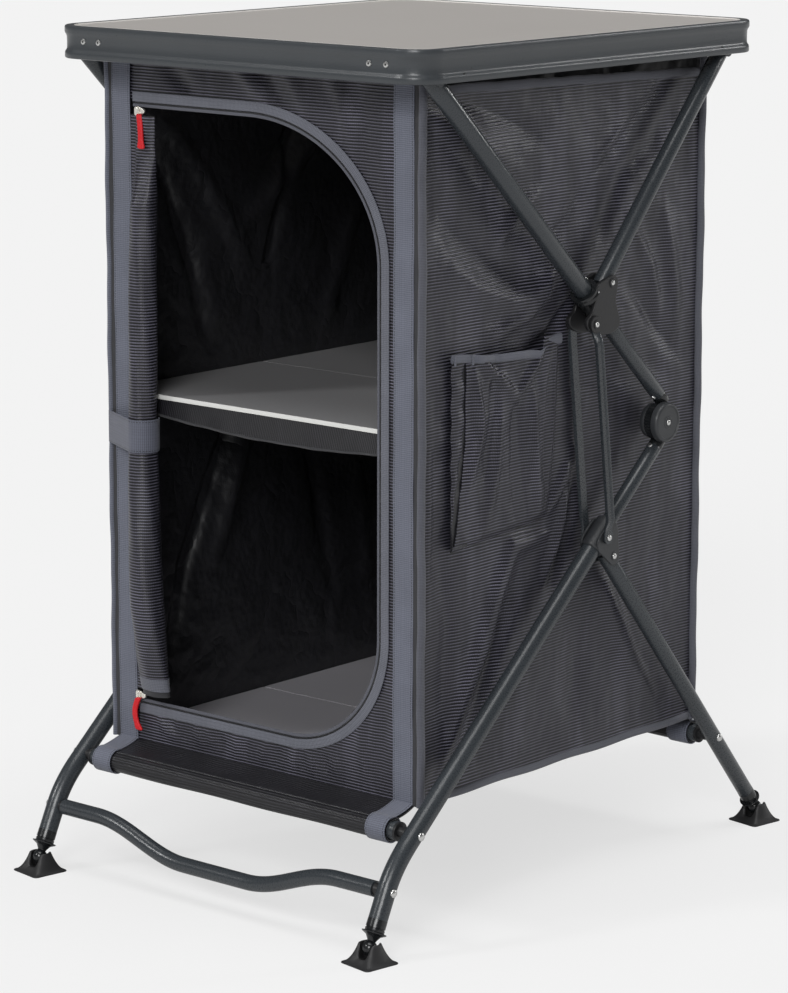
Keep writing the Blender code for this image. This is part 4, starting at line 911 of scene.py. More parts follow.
right_folds = (
    ([(-35, 397), (-86, 393), (-111, 349), (-135, 296), (-163, 248), (-200, 182)], 11, 6, 0.5),
    ([(-60, 372), (-90, 330), (-116, 272), (-150, 215), (-175, 175)], 13, -4.5, 0.2),
    ([(175, 868), (126, 840), (83, 805), (40, 774), (2, 735), (-27, 712)], 8, -3.4, 0.6),
    ([(148, 859), (113, 830), (57, 789), (15, 750), (-6, 731)], 9, 3.4, 0.4),
    ([(200, 850), (150, 800), (100, 770), (50, 700)], 14, -3, 0.3),
    ([(-225, 873), (-150, 862), (-100, 845), (-54, 820)], 14, -4, 0.4),
    ([(-230, 860), (-160, 835), (-90, 790)], 18, 3.6, 0.2),
    ([(-225, 780), (-180, 730), (-120, 700), (-60, 680)], 20, -3.5, 0.2),
    ([(-200, 700), (-150, 670), (-90, 650), (-20, 655)], 16, 4, 0.3),
    ([(-115, 712), (-80, 745), (-40, 762)], 10, 3, 0.4),
    ([(10, 645), (-26, 610), (-60, 600)], 9, -4, 0.3),
    ([(-10, 690), (-60, 640), (-130, 618)], 10, 3.4, 0.4), ([(20, 480), (-31, 420)], 8, 5, 0.5),
    ([(10, 440), (-5, 395), (-32, 345)], 8, 4.6, 0.5), ([(20, 450), (0, 380), (-20, 330)], 12, -4, 0.2),
    ([(60, 350), (85, 290), (134, 189)], 14, 3, 0.3), ([(80, 320), (120, 235), (171, 168)], 12, 3, 0.3),
    ([(20, 330), (30, 250), (20, 180)], 22, -2.8, 0.2),
    ([(175, 730), (190, 660), (201, 590)], 12, 3, 0.3),
    ([(100, 660), (140, 625), (200, 560)], 13, -3.2, 0.3),
    ([(110, 720), (150, 665), (170, 600)], 10, 2.6, 0.4),
    ([(-222, 560), (-224, 450), (-226, 327)], 6, 2.4, 0.2),
    ([(-205, 400), (-190, 320), (-200, 220)], 14, -3, 0.2),
)
left_folds = (
    ([(180, 860), (110, 800), (40, 740), (-30, 690)], 14, -4.8, 0.4),
    ([(150, 862), (80, 815), (0, 750)], 10, 4, 0.4),
    ([(-220, 860), (-140, 800), (-60, 700), (-20, 640)], 16, -5, 0.3),
    ([(-200, 820), (-150, 740), (-110, 640), (-90, 560)], 14, 4.6, 0.4),
    ([(60, 840), (40, 740), (10, 640), (0, 560)], 11, 4, 0.5),
    ([(200, 800), (160, 700), (120, 600), (100, 550)], 16, -4.5, 0.3),
    ([(-40, 500), (-80, 420), (-130, 320), (-160, 200)], 12, 6.2, 0.5),
    ([(-20, 500), (-50, 400), (-90, 300)], 16, -5, 0.3), ([(60, 500), (90, 380), (120, 240)], 14, 4, 0.4),
    ([(140, 460), (170, 340), (190, 200)], 14, -3.4, 0.3),
    ([(-180, 500), (-200, 400), (-190, 280)], 12, 3.6, 0.3),
)


def free_of_shelf(z):
    """The share of a panel's folds that is left at a height: few where the shelf presses on the cloth."""
    return 1 - 0.85 * np.exp(-((z - SHELF_Z) / 0.014) ** 2)


def side_top(y):
    """The height of a side panel's upper edge, which falls a little towards the rear."""
    return 0.8815 - 0.0228 * (y + 0.189)


def side_panel(name, node, side, folds, seed):
    """A side panel: flat along its seams and at the shelf, drawn by its folds between them, and pressed in
    along the inner link."""
    y = np.linspace(BAG_FRONT + 0.0015, BAG_BACK - 0.0015, 180)
    t = np.linspace(0, 1, 260)
    z = BAG_FOOT + t[:, None] * (side_top(y) - BAG_FOOT)[None]
    y = np.broadcast_to(y, z.shape)
    lift = slack(y, z, seed, 12, 0.06, 0.20, 0.0013)
    lift = folded(lift + slack(y, z, seed + 1, 10, 0.020, 0.055, 0.00030) - 0.0010, y, z, folds)
    lift *= near_edge(y, z, (BAG_FRONT, BAG_FOOT), (BAG_BACK, 0.90), 0.030)
    along_link = (y - LINK_TOP[0]) * link_way[0] + (z - LINK_TOP[1]) * link_way[1]
    off_link = np.abs((y - LINK_TOP[0]) * link_across[0] + (z - LINK_TOP[1]) * link_across[1])
    beside = np.abs(along_link - LINK_LENGTH / 2) < LINK_LENGTH / 2 + 0.02
    pressed = np.exp(-(off_link / 0.016) ** 4) * beside
    outward = np.clip(lift * free_of_shelf(z), -0.014, 0.0045)
    outward = np.where(outward > -0.0012, outward - (outward + 0.0012) * pressed, outward)
    face = np.stack([side * (BAG_X + outward), y, z], -1)
    made = hung(name, shell(face, np.stack([y * side, z], -1), 0.0011, (side, 0, 0)), [cloth_rib, lining],
                node, 60)


side_panel("side_cloth_right", "bag_right", 1, right_folds, 11)
side_panel("side_cloth_left", "bag_left", -1, left_folds, 23)

back_folds = (
    ([(-180, 880), (-120, 760), (-80, 620)], 16, 6, 0.4),
    ([(150, 890), (60, 780), (-20, 640), (-40, 560)], 13, -5, 0.4),
    ([(190, 860), (120, 740), (80, 600)], 18, 5, 0.3), ([(20, 900), (0, 800), (10, 700)], 12, 4, 0.4),
    ([(-160, 500), (-110, 360), (-140, 200)], 16, 6, 0.4),
    ([(20, 500), (-20, 380), (30, 220)], 14, -5, 0.4), ([(140, 500), (110, 330), (170, 180)], 15, 5, 0.4),
    ([(-60, 480), (-50, 300), (-80, 180)], 12, 4, 0.3),
)
x, z = np.meshgrid(np.linspace(-BAG_X + 0.0012, BAG_X - 0.0012, 130),
                   np.linspace(BAG_FOOT, BAG_TOP - 0.001, 230))
lift = slack(x, z, 31, 14, 0.06, 0.18, 0.0011) + slack(x, z, 32, 10, 0.02, 0.05, 0.0003)
lift = folded(lift, x, z, back_folds)
lift *= near_edge(x, z, (-BAG_X, BAG_FOOT), (BAG_X, BAG_TOP), 0.035) * free_of_shelf(z)
face = np.stack([x, BAG_BACK + np.clip(lift, -0.010, 0.009), z], -1)
made = hung("back_cloth", shell(face, np.stack([-x, z], -1), 0.0011, (0, 1, 0)), [cloth_rib, lining],
            "bag_back", 60)


# Front panel: the same cloth round the door's D-shaped opening. Pale puckers fan out under the zip,
# and the upper corner is pulled into a few soft folds.

DOOR_LEFT, DOOR_RIGHT, DOOR_TOP, DOOR_FOOT = -0.1891, 0.1701, 0.8480, 0.1809


def door_line(steps=40):
    """The opening's edge from its upper left corner over the top, down the right side and back along the
    foot: straight runs joined by two quarter ellipses."""
    turn = np.linspace(0, math.pi / 2, steps)
    upper = np.stack([DOOR_RIGHT - 0.184 + 0.184 * np.sin(turn), DOOR_TOP - 0.150 + 0.150 * np.cos(turn)], -1)
    lower = np.stack([DOOR_RIGHT - 0.130 + 0.130 * np.cos(turn),
                      DOOR_FOOT + 0.1285 - 0.1285 * np.sin(turn)], -1)
    top = np.stack([np.linspace(DOOR_LEFT, DOOR_RIGHT - 0.184, 30), np.full(30, DOOR_TOP)], -1)
    right = np.stack([np.full(50, DOOR_RIGHT), np.linspace(DOOR_TOP - 0.150, DOOR_FOOT + 0.1285, 50)], -1)
    foot = np.stack([np.linspace(DOOR_RIGHT - 0.130, DOOR_LEFT, 40), np.full(40, DOOR_FOOT)], -1)
    return np.concatenate([top[:-1], upper[:-1], right[:-1], lower[:-1], foot])


line = door_line()
hinge_side = np.stack([np.full(60, DOOR_LEFT), np.linspace(DOOR_FOOT, DOOR_TOP, 60)], -1)[1:-1]
inner = np.concatenate([line, hinge_side])
centre = np.array([-0.01, 0.51])
ray = inner - centre
low, high = np.array([-BAG_X, BAG_FOOT]), np.array([BAG_X, BAG_TOP - 0.001])
reach = np.where(ray > 0, high - centre, low - centre) / np.where(np.abs(ray) < 1e-9, 1e-9, ray)
outer = centre + ray * reach.min(1)[:, None]
for corner in ((low[0], low[1]), (low[0], high[1]), (high[0], low[1]), (high[0], high[1])):
    outer[np.linalg.norm(outer - corner, axis=1).argmin()] = corner
t = np.linspace(0, 1, 34)[:, None, None] ** 1.2
ring_points = inner[None] + (outer - inner)[None] * t
x, z = ring_points[..., 0], ring_points[..., 1]
front_folds = [([(a, 172), (b, 140 + c)], w, h, 0.3) for a, b, c, w, h in (
    (-155, -136, 6, 7, 3.4), (-142, -120, 10, 5, -2.4), (-128, -130, 0, 6, 3), (-100, -88, 4, 7, 3.6),
    (-84, -72, 8, 4, 3), (-62, -60, 2, 6, -2.4), (-40, -42, 0, 5, 3), (-22, -28, 4, 4, -2),
    (6, -4, 2, 5, 2.8), (26, 18, 6, 4, -2), (46, 42, 4, 6, 3), (66, 72, 2, 5, 2.6), (84, 92, 10, 6, -2.2),
    (104, 104, 10, 6, 2.4))]
front_folds += [
    ([(135, 240), (140, 185), (150, 150)], 8, 2.4, 0.3),
    ([(160, 290), (170, 220), (165, 160)], 8, -2.4, 0.3),
    ([(-140, 905), (-128, 880), (-100, 860)], 12, -4, 0.3),
    ([(-50, 905), (-20, 880), (5, 858)], 10, 3.6, 0.4),
    ([(-20, 905), (10, 880), (30, 855)], 8, -3.4, 0.4), ([(20, 905), (45, 880), (66, 850)], 10, 3.6, 0.4),
    ([(90, 905), (112, 870), (128, 820)], 11, 3.4, 0.4),
    ([(130, 890), (140, 840), (142, 780)], 8, -3, 0.4),
    ([(170, 900), (172, 820), (170, 740)], 10, 2.4, 0.3),
]
lift = slack(x, z, 41, 12, 0.05, 0.14, 0.0006)
lift = folded(lift, x, z, front_folds)
inside = near_edge(x, z, (-BAG_X, BAG_FOOT - 0.01), (BAG_X, BAG_TOP + 0.01), 0.030)
lift *= 0.7 * inside * np.clip(t[..., 0] * 4, 0, 1)
face = np.stack([x, BAG_FRONT - np.clip(lift, -0.006, 0.005), z], -1)
made = hung("front_cloth", shell(face, ring_points, 0.0011, FRONT, columns=True), [cloth_rib, lining],
            "bag_front", 60)


# Webbing and bindings: blue-grey woven tape. Two broad bands run down the front beside the corners,
# and narrower tape is folded over every raw edge and sewn down.

def woven_tape(name, colour, half, pitch=0.0021, stitched=True):
    """Cross ribs and, if stitched, a row of dashed stitches near both edges."""
    made, tree, shader = paint(name, colour, 0.72, Sheen_Weight=0.15)
    flat = wire(tree, "ShaderNodeUVMap", uv_map="flat").outputs[0]
    split = wire(tree, "ShaderNodeSeparateXYZ", {0: flat})
    u, v = calc(tree, 'ABSOLUTE', split.outputs[0]), split.outputs[1]
    rib = calc(tree, 'SINE', calc(tree, 'MULTIPLY', v, 2 * math.pi / pitch))
    warp = calc(tree, 'SINE', calc(tree, 'MULTIPLY', u, 2 * math.pi / (pitch * 1.4)))
    clouds = speckle(tree, 30.0, 3.0)
    mottle = calc(tree, 'MULTIPLY_ADD', warp, 0.10, calc(tree, 'MULTIPLY', clouds, 0.5))
    tone = calc(tree, 'ADD', calc(tree, 'MULTIPLY_ADD', rib, 0.30, 0.25), mottle)
    dark, pale = shade(colour, 0.62), shade(colour, 1.25)
    body = blend_colour(tree, tone, dark, pale)
    if stitched:
        off = calc(tree, 'ABSOLUTE', calc(tree, 'SUBTRACT', u, half - 0.0022))
        row = calc(tree, 'LESS_THAN', off, 0.00045)
        dash = calc(tree, 'LESS_THAN', calc(tree, 'FRACT', calc(tree, 'MULTIPLY', v, 1 / 0.0032)), 0.62)
        body = blend_colour(tree, calc(tree, 'MULTIPLY', row, dash), body, shade(colour, 0.30))
    tree.links.new(body, shader.inputs["Base Color"])
    grain(tree, shader, calc(tree, 'MULTIPLY_ADD', warp, 0.4, rib), 0.0002, 0.5)
    return made


def carried(path, side, out, profile, widths=1.0):
    """A closed profile of (sideways, outwards) points carried along a path and widened by a factor at each of
    its points; both ends close on a point. The flat coordinates are the sideways distance and the length."""
    path, profile = np.asarray(path, float), np.asarray(profile, float)
    side, out = np.broadcast_to(side, path.shape), np.broadcast_to(out, path.shape)
    widths = np.broadcast_to(widths, len(path))[:, None]
    length = np.concatenate([[0], np.cumsum(np.linalg.norm(np.diff(path, axis=0), axis=1))])
    aside = profile[None, :, 0] * widths
    points = path[:, None] + aside[..., None] * side[:, None] + profile[None, :, 1:] * out[:, None]
    flat = grid_of(aside, length[:, None])
    ends = [np.repeat(points[i].mean(0)[None], len(profile), 0)[None] for i in (0, -1)]
    points = np.concatenate([ends[0], points, ends[1]])
    return skin(points, flat=np.concatenate([flat[:1], flat, flat[-1:]]))


def band(width, thickness):
    """A tape's section, its back at 0: flat faces and rounded edges."""
    half, edge = width / 2, thickness * 0.45
    return [(-half, edge), (-half + edge * 0.4, edge * 0.3), (-half + edge, 0), (-half * 0.5, 0),
            (half * 0.5, 0), (half - edge, 0), (half - edge * 0.4, edge * 0.3), (half, edge),
            (half, thickness - edge), (half - edge * 0.6, thickness - edge * 0.2),
            (half - 2 * edge, thickness), (half * 0.5, thickness), (-half * 0.5, thickness),
            (-half + 2 * edge, thickness), (-half + edge * 0.6, thickness - edge * 0.2),
            (-half, thickness - edge)]


def oval(half_side, half_out, steps=16, aside=0.0, out=0.0):
    """A closed oval section of (sideways, outwards) points round its middle."""
    angle = np.arange(steps) * 2 * math.pi / steps
    return np.stack([aside + half_side * np.cos(angle), out + half_out * np.sin(angle)], -1)


def rows_between(start, end, count):
    return np.linspace(np.asarray(start, float), np.asarray(end, float), count)


WEBBING_X, WEBBING_WIDTH = 0.1998, 0.0274
webbing = woven_tape("webbing", (0.118, 0.127, 0.164), WEBBING_WIDTH / 2)
edging = woven_tape("edging", (0.080, 0.083, 0.103), 0.0055, 0.0016, stitched=False)
stitch_tape = woven_tape("stitched_tape", (0.022, 0.022, 0.026), 0.0052, 0.0012)

for side, hand in HANDS:
    path = rows_between((side * WEBBING_X, BAG_FRONT - 0.0012, BAG_FOOT - 0.001),
                        (side * WEBBING_X, BAG_FRONT - 0.0012, BAG_TOP - 0.002), 120)
    path[:, 1] -= 0.0004 * np.sin(path[:, 2] * 31) + 0.0003 * np.sin(path[:, 2] * 83)
    hung("webbing_band_" + hand, [carried(path, RIGHT, FRONT, band(WEBBING_WIDTH, 0.0013))], [webbing],
         "webbing_" + hand)
    x, y = side * 0.2166, BAG_FRONT - 0.0008
    path = rows_between((x, y, BAG_FOOT - 0.001), (x, y, BAG_TOP - 0.003), 80)
    hung("stitched_strip_" + hand, [carried(path, RIGHT, FRONT, band(0.0072, 0.0011))],
         [stitch_tape])
    for where, y, out in (("front", BAG_FRONT - 0.0012, -1), ("rear", BAG_BACK + 0.0010, 1)):
        z = np.linspace(BAG_FOOT - 0.001, 0.8880 if where == "rear" else 0.9060, 110)
        sway = 0.0006 * np.sin(z * 37 + side) + 0.0003 * np.sin(z * 101)
        path = np.stack([side * (0.2218 + sway), np.full(110, y - out * 0.0020), z], -1)
        hung("corner_edging_%s_%s" % (where, hand),
             [carried(path, (side, 0, 0), FRONT, oval(0.0036, 0.0052))],
             [webbing if side < 0 and where == "front" else edging], None, 60)
    y = np.linspace(BAG_FRONT + 0.004, BAG_BACK - 0.002, 120)
    top = side_top(y) - 0.0005 + 0.0003 * np.sin(y * 71) + 0.0002 * np.sin(y * 173)
    path = np.stack([np.full(120, side * BAG_X), y, top], -1)
    hung("top_edging_" + hand, [carried(path, UP, (side, 0, 0), oval(0.0048, 0.0021))], [edging],
         None, 60)
    foot = BAG_FOOT + 0.0026 + 0.0007 * np.sin(y * 53 + side)
    path = np.stack([np.full(120, side * (BAG_X - 0.0003)), y, foot], -1)
    hung("foot_edging_" + hand, [carried(path, UP, (side, 0, 0), oval(0.0044, 0.0024))], [edging],
         None, 60)


# Floor cloth and bar sleeves: the darker inside of the ribbed cloth joins the panels' lower edges to
# the cross bars and is sewn round them; the webbing runs on over it and round the bars' ends.

satin = ribbed_cloth("sleeve_cloth", (0.032, 0.031, 0.038), (0.0070, 0.0070, 0.0080))

SLEEVE_R = 0.0118


def wrap(bar, edge, turn, steps=44):
    """The side-plane path of a cloth round the bar: a circle from the tangent out of the panel's edge."""
    span = edge - bar
    size = np.linalg.norm(span)
    first = math.atan2(span[1], span[0]) + turn * math.acos(SLEEVE_R / size)
    angle = first + turn * np.linspace(0, 2 * math.pi, steps)
    return bar + SLEEVE_R * np.stack([np.cos(angle), np.sin(angle)], -1)


for where, body, bar, edge_y, turn, node in (("front", "front_legs", FRONT_BAR, BAG_FRONT, 1, "front_hem"),
                                              ("rear", "rear_legs", REAR_BAR, BAG_BACK, -1, "rear_hem")):
    edge = np.array([edge_y + 0.0008 * turn, BAG_FOOT + 0.0006])
    arc = wrap(bar, edge, turn)
    x = np.linspace(-0.2128, 0.2128, 90)
    grid = grid_of(x[None, :], arc[:, None, 0], arc[:, None, 1])
    grid[..., 2] -= 0.0004 * np.sin(x * 40)[None] * (arc[:, 1] < bar[1])[:, None]
    length = np.linspace(0, 2 * math.pi * SLEEVE_R, len(arc))
    flat = grid_of(x[None, :], length[:, None])
    made = piece(where + "_sleeve", shell(grid, flat, 0.0012, UP), [satin, satin], body,
                 node, 60)
    strap_arc = bar + (arc - bar) * 1.10
    for side, hand in HANDS:
        strap_path = np.column_stack([np.full(len(strap_arc), side * WEBBING_X), strap_arc])
        radial = np.column_stack([np.zeros(len(arc)), (arc - bar) / SLEEVE_R])
        piece("%s_bar_strap_%s" % (where, hand),
              [carried(strap_path, RIGHT, radial, band(WEBBING_WIDTH, 0.0012))], [webbing], body)
    sag = np.linspace(0, 1, 16)[:, None]
    flap = edge + (arc[0] - edge) * sag - np.array([0, 0.0016]) * np.sin(math.pi * sag)
    x = np.linspace(-0.2150, 0.2150, 110)
    grid = grid_of(x[None, :], flap[:, None, 0], flap[:, None, 1])
    grid[..., 2] += (0.0008 * np.sin(x * 52)[None] + 0.0004 * np.sin(x * 131)[None]) * np.sin(math.pi * sag)
    length = np.linalg.norm(flap - edge, axis=1)
    flat = grid_of(x[None, :], length[:, None])
    made = hung(where + "_flap", shell(grid, flat, 0.0011, UP), [satin, satin], None, 60)
    for side, hand in HANDS:
        strap_path = np.column_stack([np.full(len(flap), side * WEBBING_X), flap[:, 0], flap[:, 1] + 0.0004])
        hung("%s_flap_strap_%s" % (where, hand),
             [carried(strap_path, RIGHT, UP, band(WEBBING_WIDTH, 0.0013))], [webbing])

y = np.linspace(BAG_FRONT + 0.001, BAG_BACK - 0.001, 60)
x = np.linspace(-0.2185, 0.2185, 56)
sag = 0.0012 * np.sin(math.pi * (x + 0.2185) / 0.437) * np.sin(math.pi * (y[:, None] - BAG_FRONT) / 0.4775)
grid = grid_of(x[None, :], y[:, None], BAG_FOOT + 0.0014 - sag)
made = hung("floor_cloth", shell(grid, grid[..., :2], 0.0010, UP), [satin, satin], None, 60)


# Zip: a woven tape round the opening, a black coil of teeth on its inner edge and a narrow tape
# inside that. Nickel sliders and stops, and red moulded pulls, at both ends.

zip_tape = woven_tape("zip_tape_cloth", (0.112, 0.117, 0.143), 0.0052, 0.0019, stitched=False)
coil, tree, shader = paint("zip_coil", (0.008, 0.008, 0.009), 0.35)
flat = wire(tree, "ShaderNodeUVMap", uv_map="flat").outputs[0]
split = wire(tree, "ShaderNodeSeparateXYZ", {0: flat})
teeth = calc(tree, 'SINE', calc(tree, 'MULTIPLY', split.outputs[1], 2 * math.pi / 0.0014))
tint(tree, shader, calc(tree, 'MULTIPLY_ADD', teeth, 0.5, 0.5), (0.004, 0.004, 0.005), (0.020, 0.020, 0.023))
grain(tree, shader, teeth, 0.0006, 0.8)

edge_path = door_line(60)
keep = edge_path[:, 0] > -0.1835
edge_path = edge_path[keep]
tangent = np.gradient(edge_path, axis=0)
tangent /= np.linalg.norm(tangent, axis=1)[:, None]
edge_out = np.stack([-tangent[:, 1], tangent[:, 0]], -1)
path = np.column_stack([edge_path[:, 0], np.full(len(edge_path), BAG_FRONT - 0.0004), edge_path[:, 1]])
outwards = np.column_stack([edge_out[:, 0], np.zeros(len(edge_out)), edge_out[:, 1]])


def shifted(profile, sideways, lift=0.0):
    return [(a + sideways, b + lift) for a, b in profile]


outer_tape = carried(path, outwards, FRONT, shifted(band(0.0108, 0.0011), 0.0040))
outer_tape[4][..., 0] -= 0.0040
hung("zip_tape_outer", [outer_tape], [zip_tape], "zip_tape")
hung("zip_teeth", [carried(path, outwards, FRONT, oval(0.0012, 0.0010, 10, -0.0024, 0.0002))], [coil],
     None, 60)
inner_tape = carried(path, outwards, FRONT, shifted(band(0.0038, 0.0010), -0.0051, -0.0005))
inner_tape[4][..., 0] += 0.0051
hung("zip_tape_inner", [inner_tape], [edging])

nickel, tree, shader = paint("nickel", (0.86, 0.83, 0.76), 0.25, Metallic=1.0)
uneven_gloss(tree, shader, speckle(tree, 600.0, 3.0), 0.3, 0.14)
grain(tree, shader, speckle(tree, 260.0, 2.0), 0.0002, 0.3)
red, tree, shader = paint("pull_red", (0.600, 0.006, 0.012), 0.50, Specular_IOR_Level=0.3)
ribs = speckle(tree, 520.0, 3.0)
tint(tree, shader, ribs, (0.420, 0.006, 0.010), (0.680, 0.018, 0.026))
grain(tree, shader, ribs, 0.0005, 0.4)


def pull_skin(x, y, top, bow, drift, lean):
    """A moulded pull: rows run down it. Its middle line bows sideways by a sine and drifts, its half width
    narrows in the middle, and each ring is a rounded oblong of that width."""
    t = np.linspace(0, 1, 44)
    closing = np.sqrt(np.clip(np.minimum((t + 0.012) / 0.05, (1.012 - t) / 0.05), 0, 1))
    width = (0.0042 + 0.0012 * np.clip((t - 0.78) / 0.16, 0, 1) - 0.0006 * np.sin(math.pi * t)) * closing
    depth = 0.0016 * closing * (1 + 0.10 * np.sin(t * 60))
    angle = np.arange(20) * 2 * math.pi / 20
    round_x = np.sign(np.cos(angle)) * np.abs(np.cos(angle)) ** 0.6
    round_y = np.sign(np.sin(angle)) * np.abs(np.sin(angle)) ** 0.7
    middle = x + bow * np.sin(math.pi * t) + drift * t
    grid = grid_of(middle[:, None] + width[:, None] * round_x,
                   y - lean * t[:, None] + depth[:, None] * round_y, top - 0.0365 * t[:, None])
    ends = [np.repeat(grid[i].mean(0)[None], 20, 0)[None] for i in (0, -1)]
    return skin(np.concatenate([ends[0], grid, ends[1]]))


for which, x, z, aside, bow, drift, lean in (("top", -0.1715, 0.8370, 0.0030, 0.0006, 0.0085, 0.0062),
                                             ("bottom", -0.1800, 0.19194, 0.0, -0.0062, 0.0030, 0.0020)):
    y = BAG_FRONT - 0.0018
    outline = [((x - 0.0030, z + 0.0022), 0.0030), ((x - 0.0030, z - 0.0022), 0.0030),
               ((x + 0.0060, z), 0.0030)]
    grid = slab(*round_outline(outline, 48), y - 0.0034, y, 0.0007)[..., [1, 0, 2]]
    loop_angle = np.arange(28) * 2 * math.pi / 28
    loop_path = np.stack([x + 0 * loop_angle, y - 0.0040 + 0.0017 * np.cos(loop_angle),
                          z + 0.0012 + 0.0040 * np.sin(loop_angle)], -1)
    wire_angle = np.arange(10) * 2 * math.pi / 10
    radial = loop_path - loop_path.mean(0)
    radial /= np.linalg.norm(radial, axis=1)[:, None]
    loop = (loop_path[:, None] + 0.0007 * (np.cos(wire_angle)[None, :, None] * radial[:, None]
                                           + np.sin(wire_angle)[None, :, None] * np.array([1.0, 0, 0])))
    piece("zip_slider_body_" + which, [skin(grid), skin(loop, rows=True)], [nickel], "slider_" + which,
          "zip_slider_" + which, 45)
    pull = pull_skin(x + aside, BAG_FRONT - 0.0066, z - 0.0025, bow, drift, lean)
    piece("zip_pull_moulding_" + which, [pull], [red], "pull_" + which, "zip_pull_" + which, 60)
    outline = [((x - 0.0056, z + 0.0040), 0.0009), ((x - 0.0056, z - 0.0040), 0.0009)]
    stop = slab(*round_outline(outline, 24), y - 0.0012, y, 0.0004)[..., [1, 0, 2]]
    piece("zip_stop_bar_" + which, [skin(stop)], [nickel], "stop_" + which, "zip_stop_" + which, 45)


# Rolled door: the door panel, rolled up towards its hinge side into a long, slightly tapered roll
# with its zip tape showing at the foot, tied up by a broad webbing strap.

def roll_place(z):
    """The roll's axis, radius and flatness at a height: slim above, fuller towards the foot, and pressed flat
    against the panel at both ends, where the zip's sliders hold it."""
    x = np.interp(z, [0.20, 0.30, 0.42, 0.51, 0.70, 0.75, 0.80],
                  [-0.1480, -0.1520, -0.1575, -0.1590, -0.1560, -0.1550, -0.1615])
    radius = np.interp(z, [0.20, 0.24, 0.34, 0.44, 0.48, 0.51, 0.60, 0.80, 0.835],
                       [0.0192, 0.0196, 0.0184, 0.0166, 0.0150, 0.0148, 0.0152, 0.0138, 0.0132])
    return x, radius, np.interp(z, [0.20, 0.24, 0.30, 0.74, 0.79, 0.835], [0.50, 0.75, 1.0, 1.0, 0.34, 0.26])


def roll_skin(low, high, rows, grow, columns=72):
    """Rings of a spiral: the radius steps down once per turn, where the cloth's outer end lies on the roll.
    Both ends sink a little towards their middle, where they close."""
    z = np.linspace(low, high, rows)
    x, radius, depth = roll_place(z)
    angle = np.linspace(0, 2 * math.pi, columns)
    lap = 0.0011 * (1 - np.clip(angle / 0.25, 0, 1)) + 0.00045 * np.sin(angle * 2 + z[:, None] * 9)
    r = radius[:, None] + grow + lap + 0.0004 * np.sin(angle * 5 + z[:, None] * 40)
    middle = np.column_stack([x, BAG_FRONT - 0.0008 - radius * depth, z])
    turn = angle + 2.6
    grid = middle[:, None] + np.stack([r * np.cos(turn), depth[:, None] * r * np.sin(turn), 0 * r], -1)
    caps = []
    for i, sink in ((0, 0.004), (-1, -0.004)):
        inner = middle[i] + (grid[i] - middle[i]) * 0.55 + (0, 0, sink)
        caps.append([np.repeat(inner.mean(0)[None], columns, 0), inner])
    grid = np.concatenate([caps[0], grid, caps[1][::-1]])
    flat = grid_of(angle[None] * 0.016, z[:, None])
    return skin(grid, flat=np.concatenate([flat[:1], flat[:1], flat, flat[-1:], flat[-1:]]))


hung("door_roll", [roll_skin(0.2190, 0.8330, 150, 0.0)], [cloth_rib], "rolled_door", 60)
hung("roll_tape", [roll_skin(0.2050, 0.2195, 8, 0.0004)], [zip_tape], None, 60)
hung("roll_foot", [roll_skin(0.1985, 0.2055, 8, -0.0006)], [stitch_tape], None, 60)
flap_x = np.linspace(-0.1860, -0.1500, 10)
flap_z = np.linspace(0.1985, 0.8330, 120)
grid = grid_of(flap_x[None, :], BAG_FRONT - 0.0016 - 0.0030 * ((flap_x + 0.1860) / 0.036)[None, :] ** 2,
               flap_z[:, None])
made = hung("door_flap", shell(grid, grid[..., [0, 2]], 0.0010, FRONT), [cloth_rib, lining],
            None, 60)

roll_x, roll_r, _ = (float(v) for v in roll_place(0.489))
roll_y = BAG_FRONT - 0.0008 - roll_r
outline, normals = round_outline([((roll_x, roll_y), roll_r + 0.0014),
                                  ((-0.2212, BAG_FRONT - 0.0020), 0.0016)], 160)
angle = np.arctan2(normals[:, 1], normals[:, 0])
order = np.argsort((angle - math.radians(100)) % (2 * math.pi))
outline, normals = outline[order], normals[order]
keep = ~((normals[:, 1] > 0.25) & (outline[:, 0] < roll_x + 0.010))
outline, normals = outline[keep], normals[keep]
dense = np.concatenate([[0], np.cumsum(np.linalg.norm(np.diff(outline, axis=0), axis=1))])
even = np.linspace(0, dense[-1], 70)
outline = np.stack([np.interp(even, dense, outline[:, i]) for i in (0, 1)], -1)
normals = np.stack([np.interp(even, dense, normals[:, i]) for i in (0, 1)], -1)
normals /= np.linalg.norm(normals, axis=1)[:, None]
strap_path = np.column_stack([outline, np.full(70, 0.4890)])
strap_out = np.column_stack([normals, np.zeros(70)])
strap_web = woven_tape("strap_webbing", (0.090, 0.096, 0.128), 0.0180)
hung("roll_strap_web", [carried(strap_path, UP, strap_out, band(0.036, 0.0013))], [strap_web],
     "roll_strap")


# Shelves: two laminated boards, each in two halves that meet at mid depth. The upper one has a pale
# edge and lies in a sling of dark cloth, whose short skirt hangs at the front.

def laminate_board(name, colour):
    """Melamine board: fine flecks over a slow drift in tone."""
    made, tree, shader = paint(name, colour, 0.45)
    flecks = speckle(tree, 700.0, 3.0)
    tone = calc(tree, 'MULTIPLY_ADD', flecks, 0.5, calc(tree, 'MULTIPLY', speckle(tree, 6.0), 0.5))
    tint(tree, shader, tone, shade(colour, 0.90), shade(colour, 1.10))
    uneven_gloss(tree, shader, flecks, 0.2, 0.36)
    grain(tree, shader, flecks, 0.0002, 0.3)
    return made


# One laminate in two tones for the light on the two boards: the base's is painted lighter than the shelf's,
# standing in for light on the base.
board = laminate_board("board_laminate", (0.225, 0.223, 0.229))
base_laminate_painted_lighter = laminate_board("base_laminate_painted_lighter", (0.375, 0.366, 0.392))
edge_band, tree, shader = paint("board_edge", (0.66, 0.66, 0.64), 0.35)
grain(tree, shader, speckle(tree, 500.0), 0.0002, 0.2)


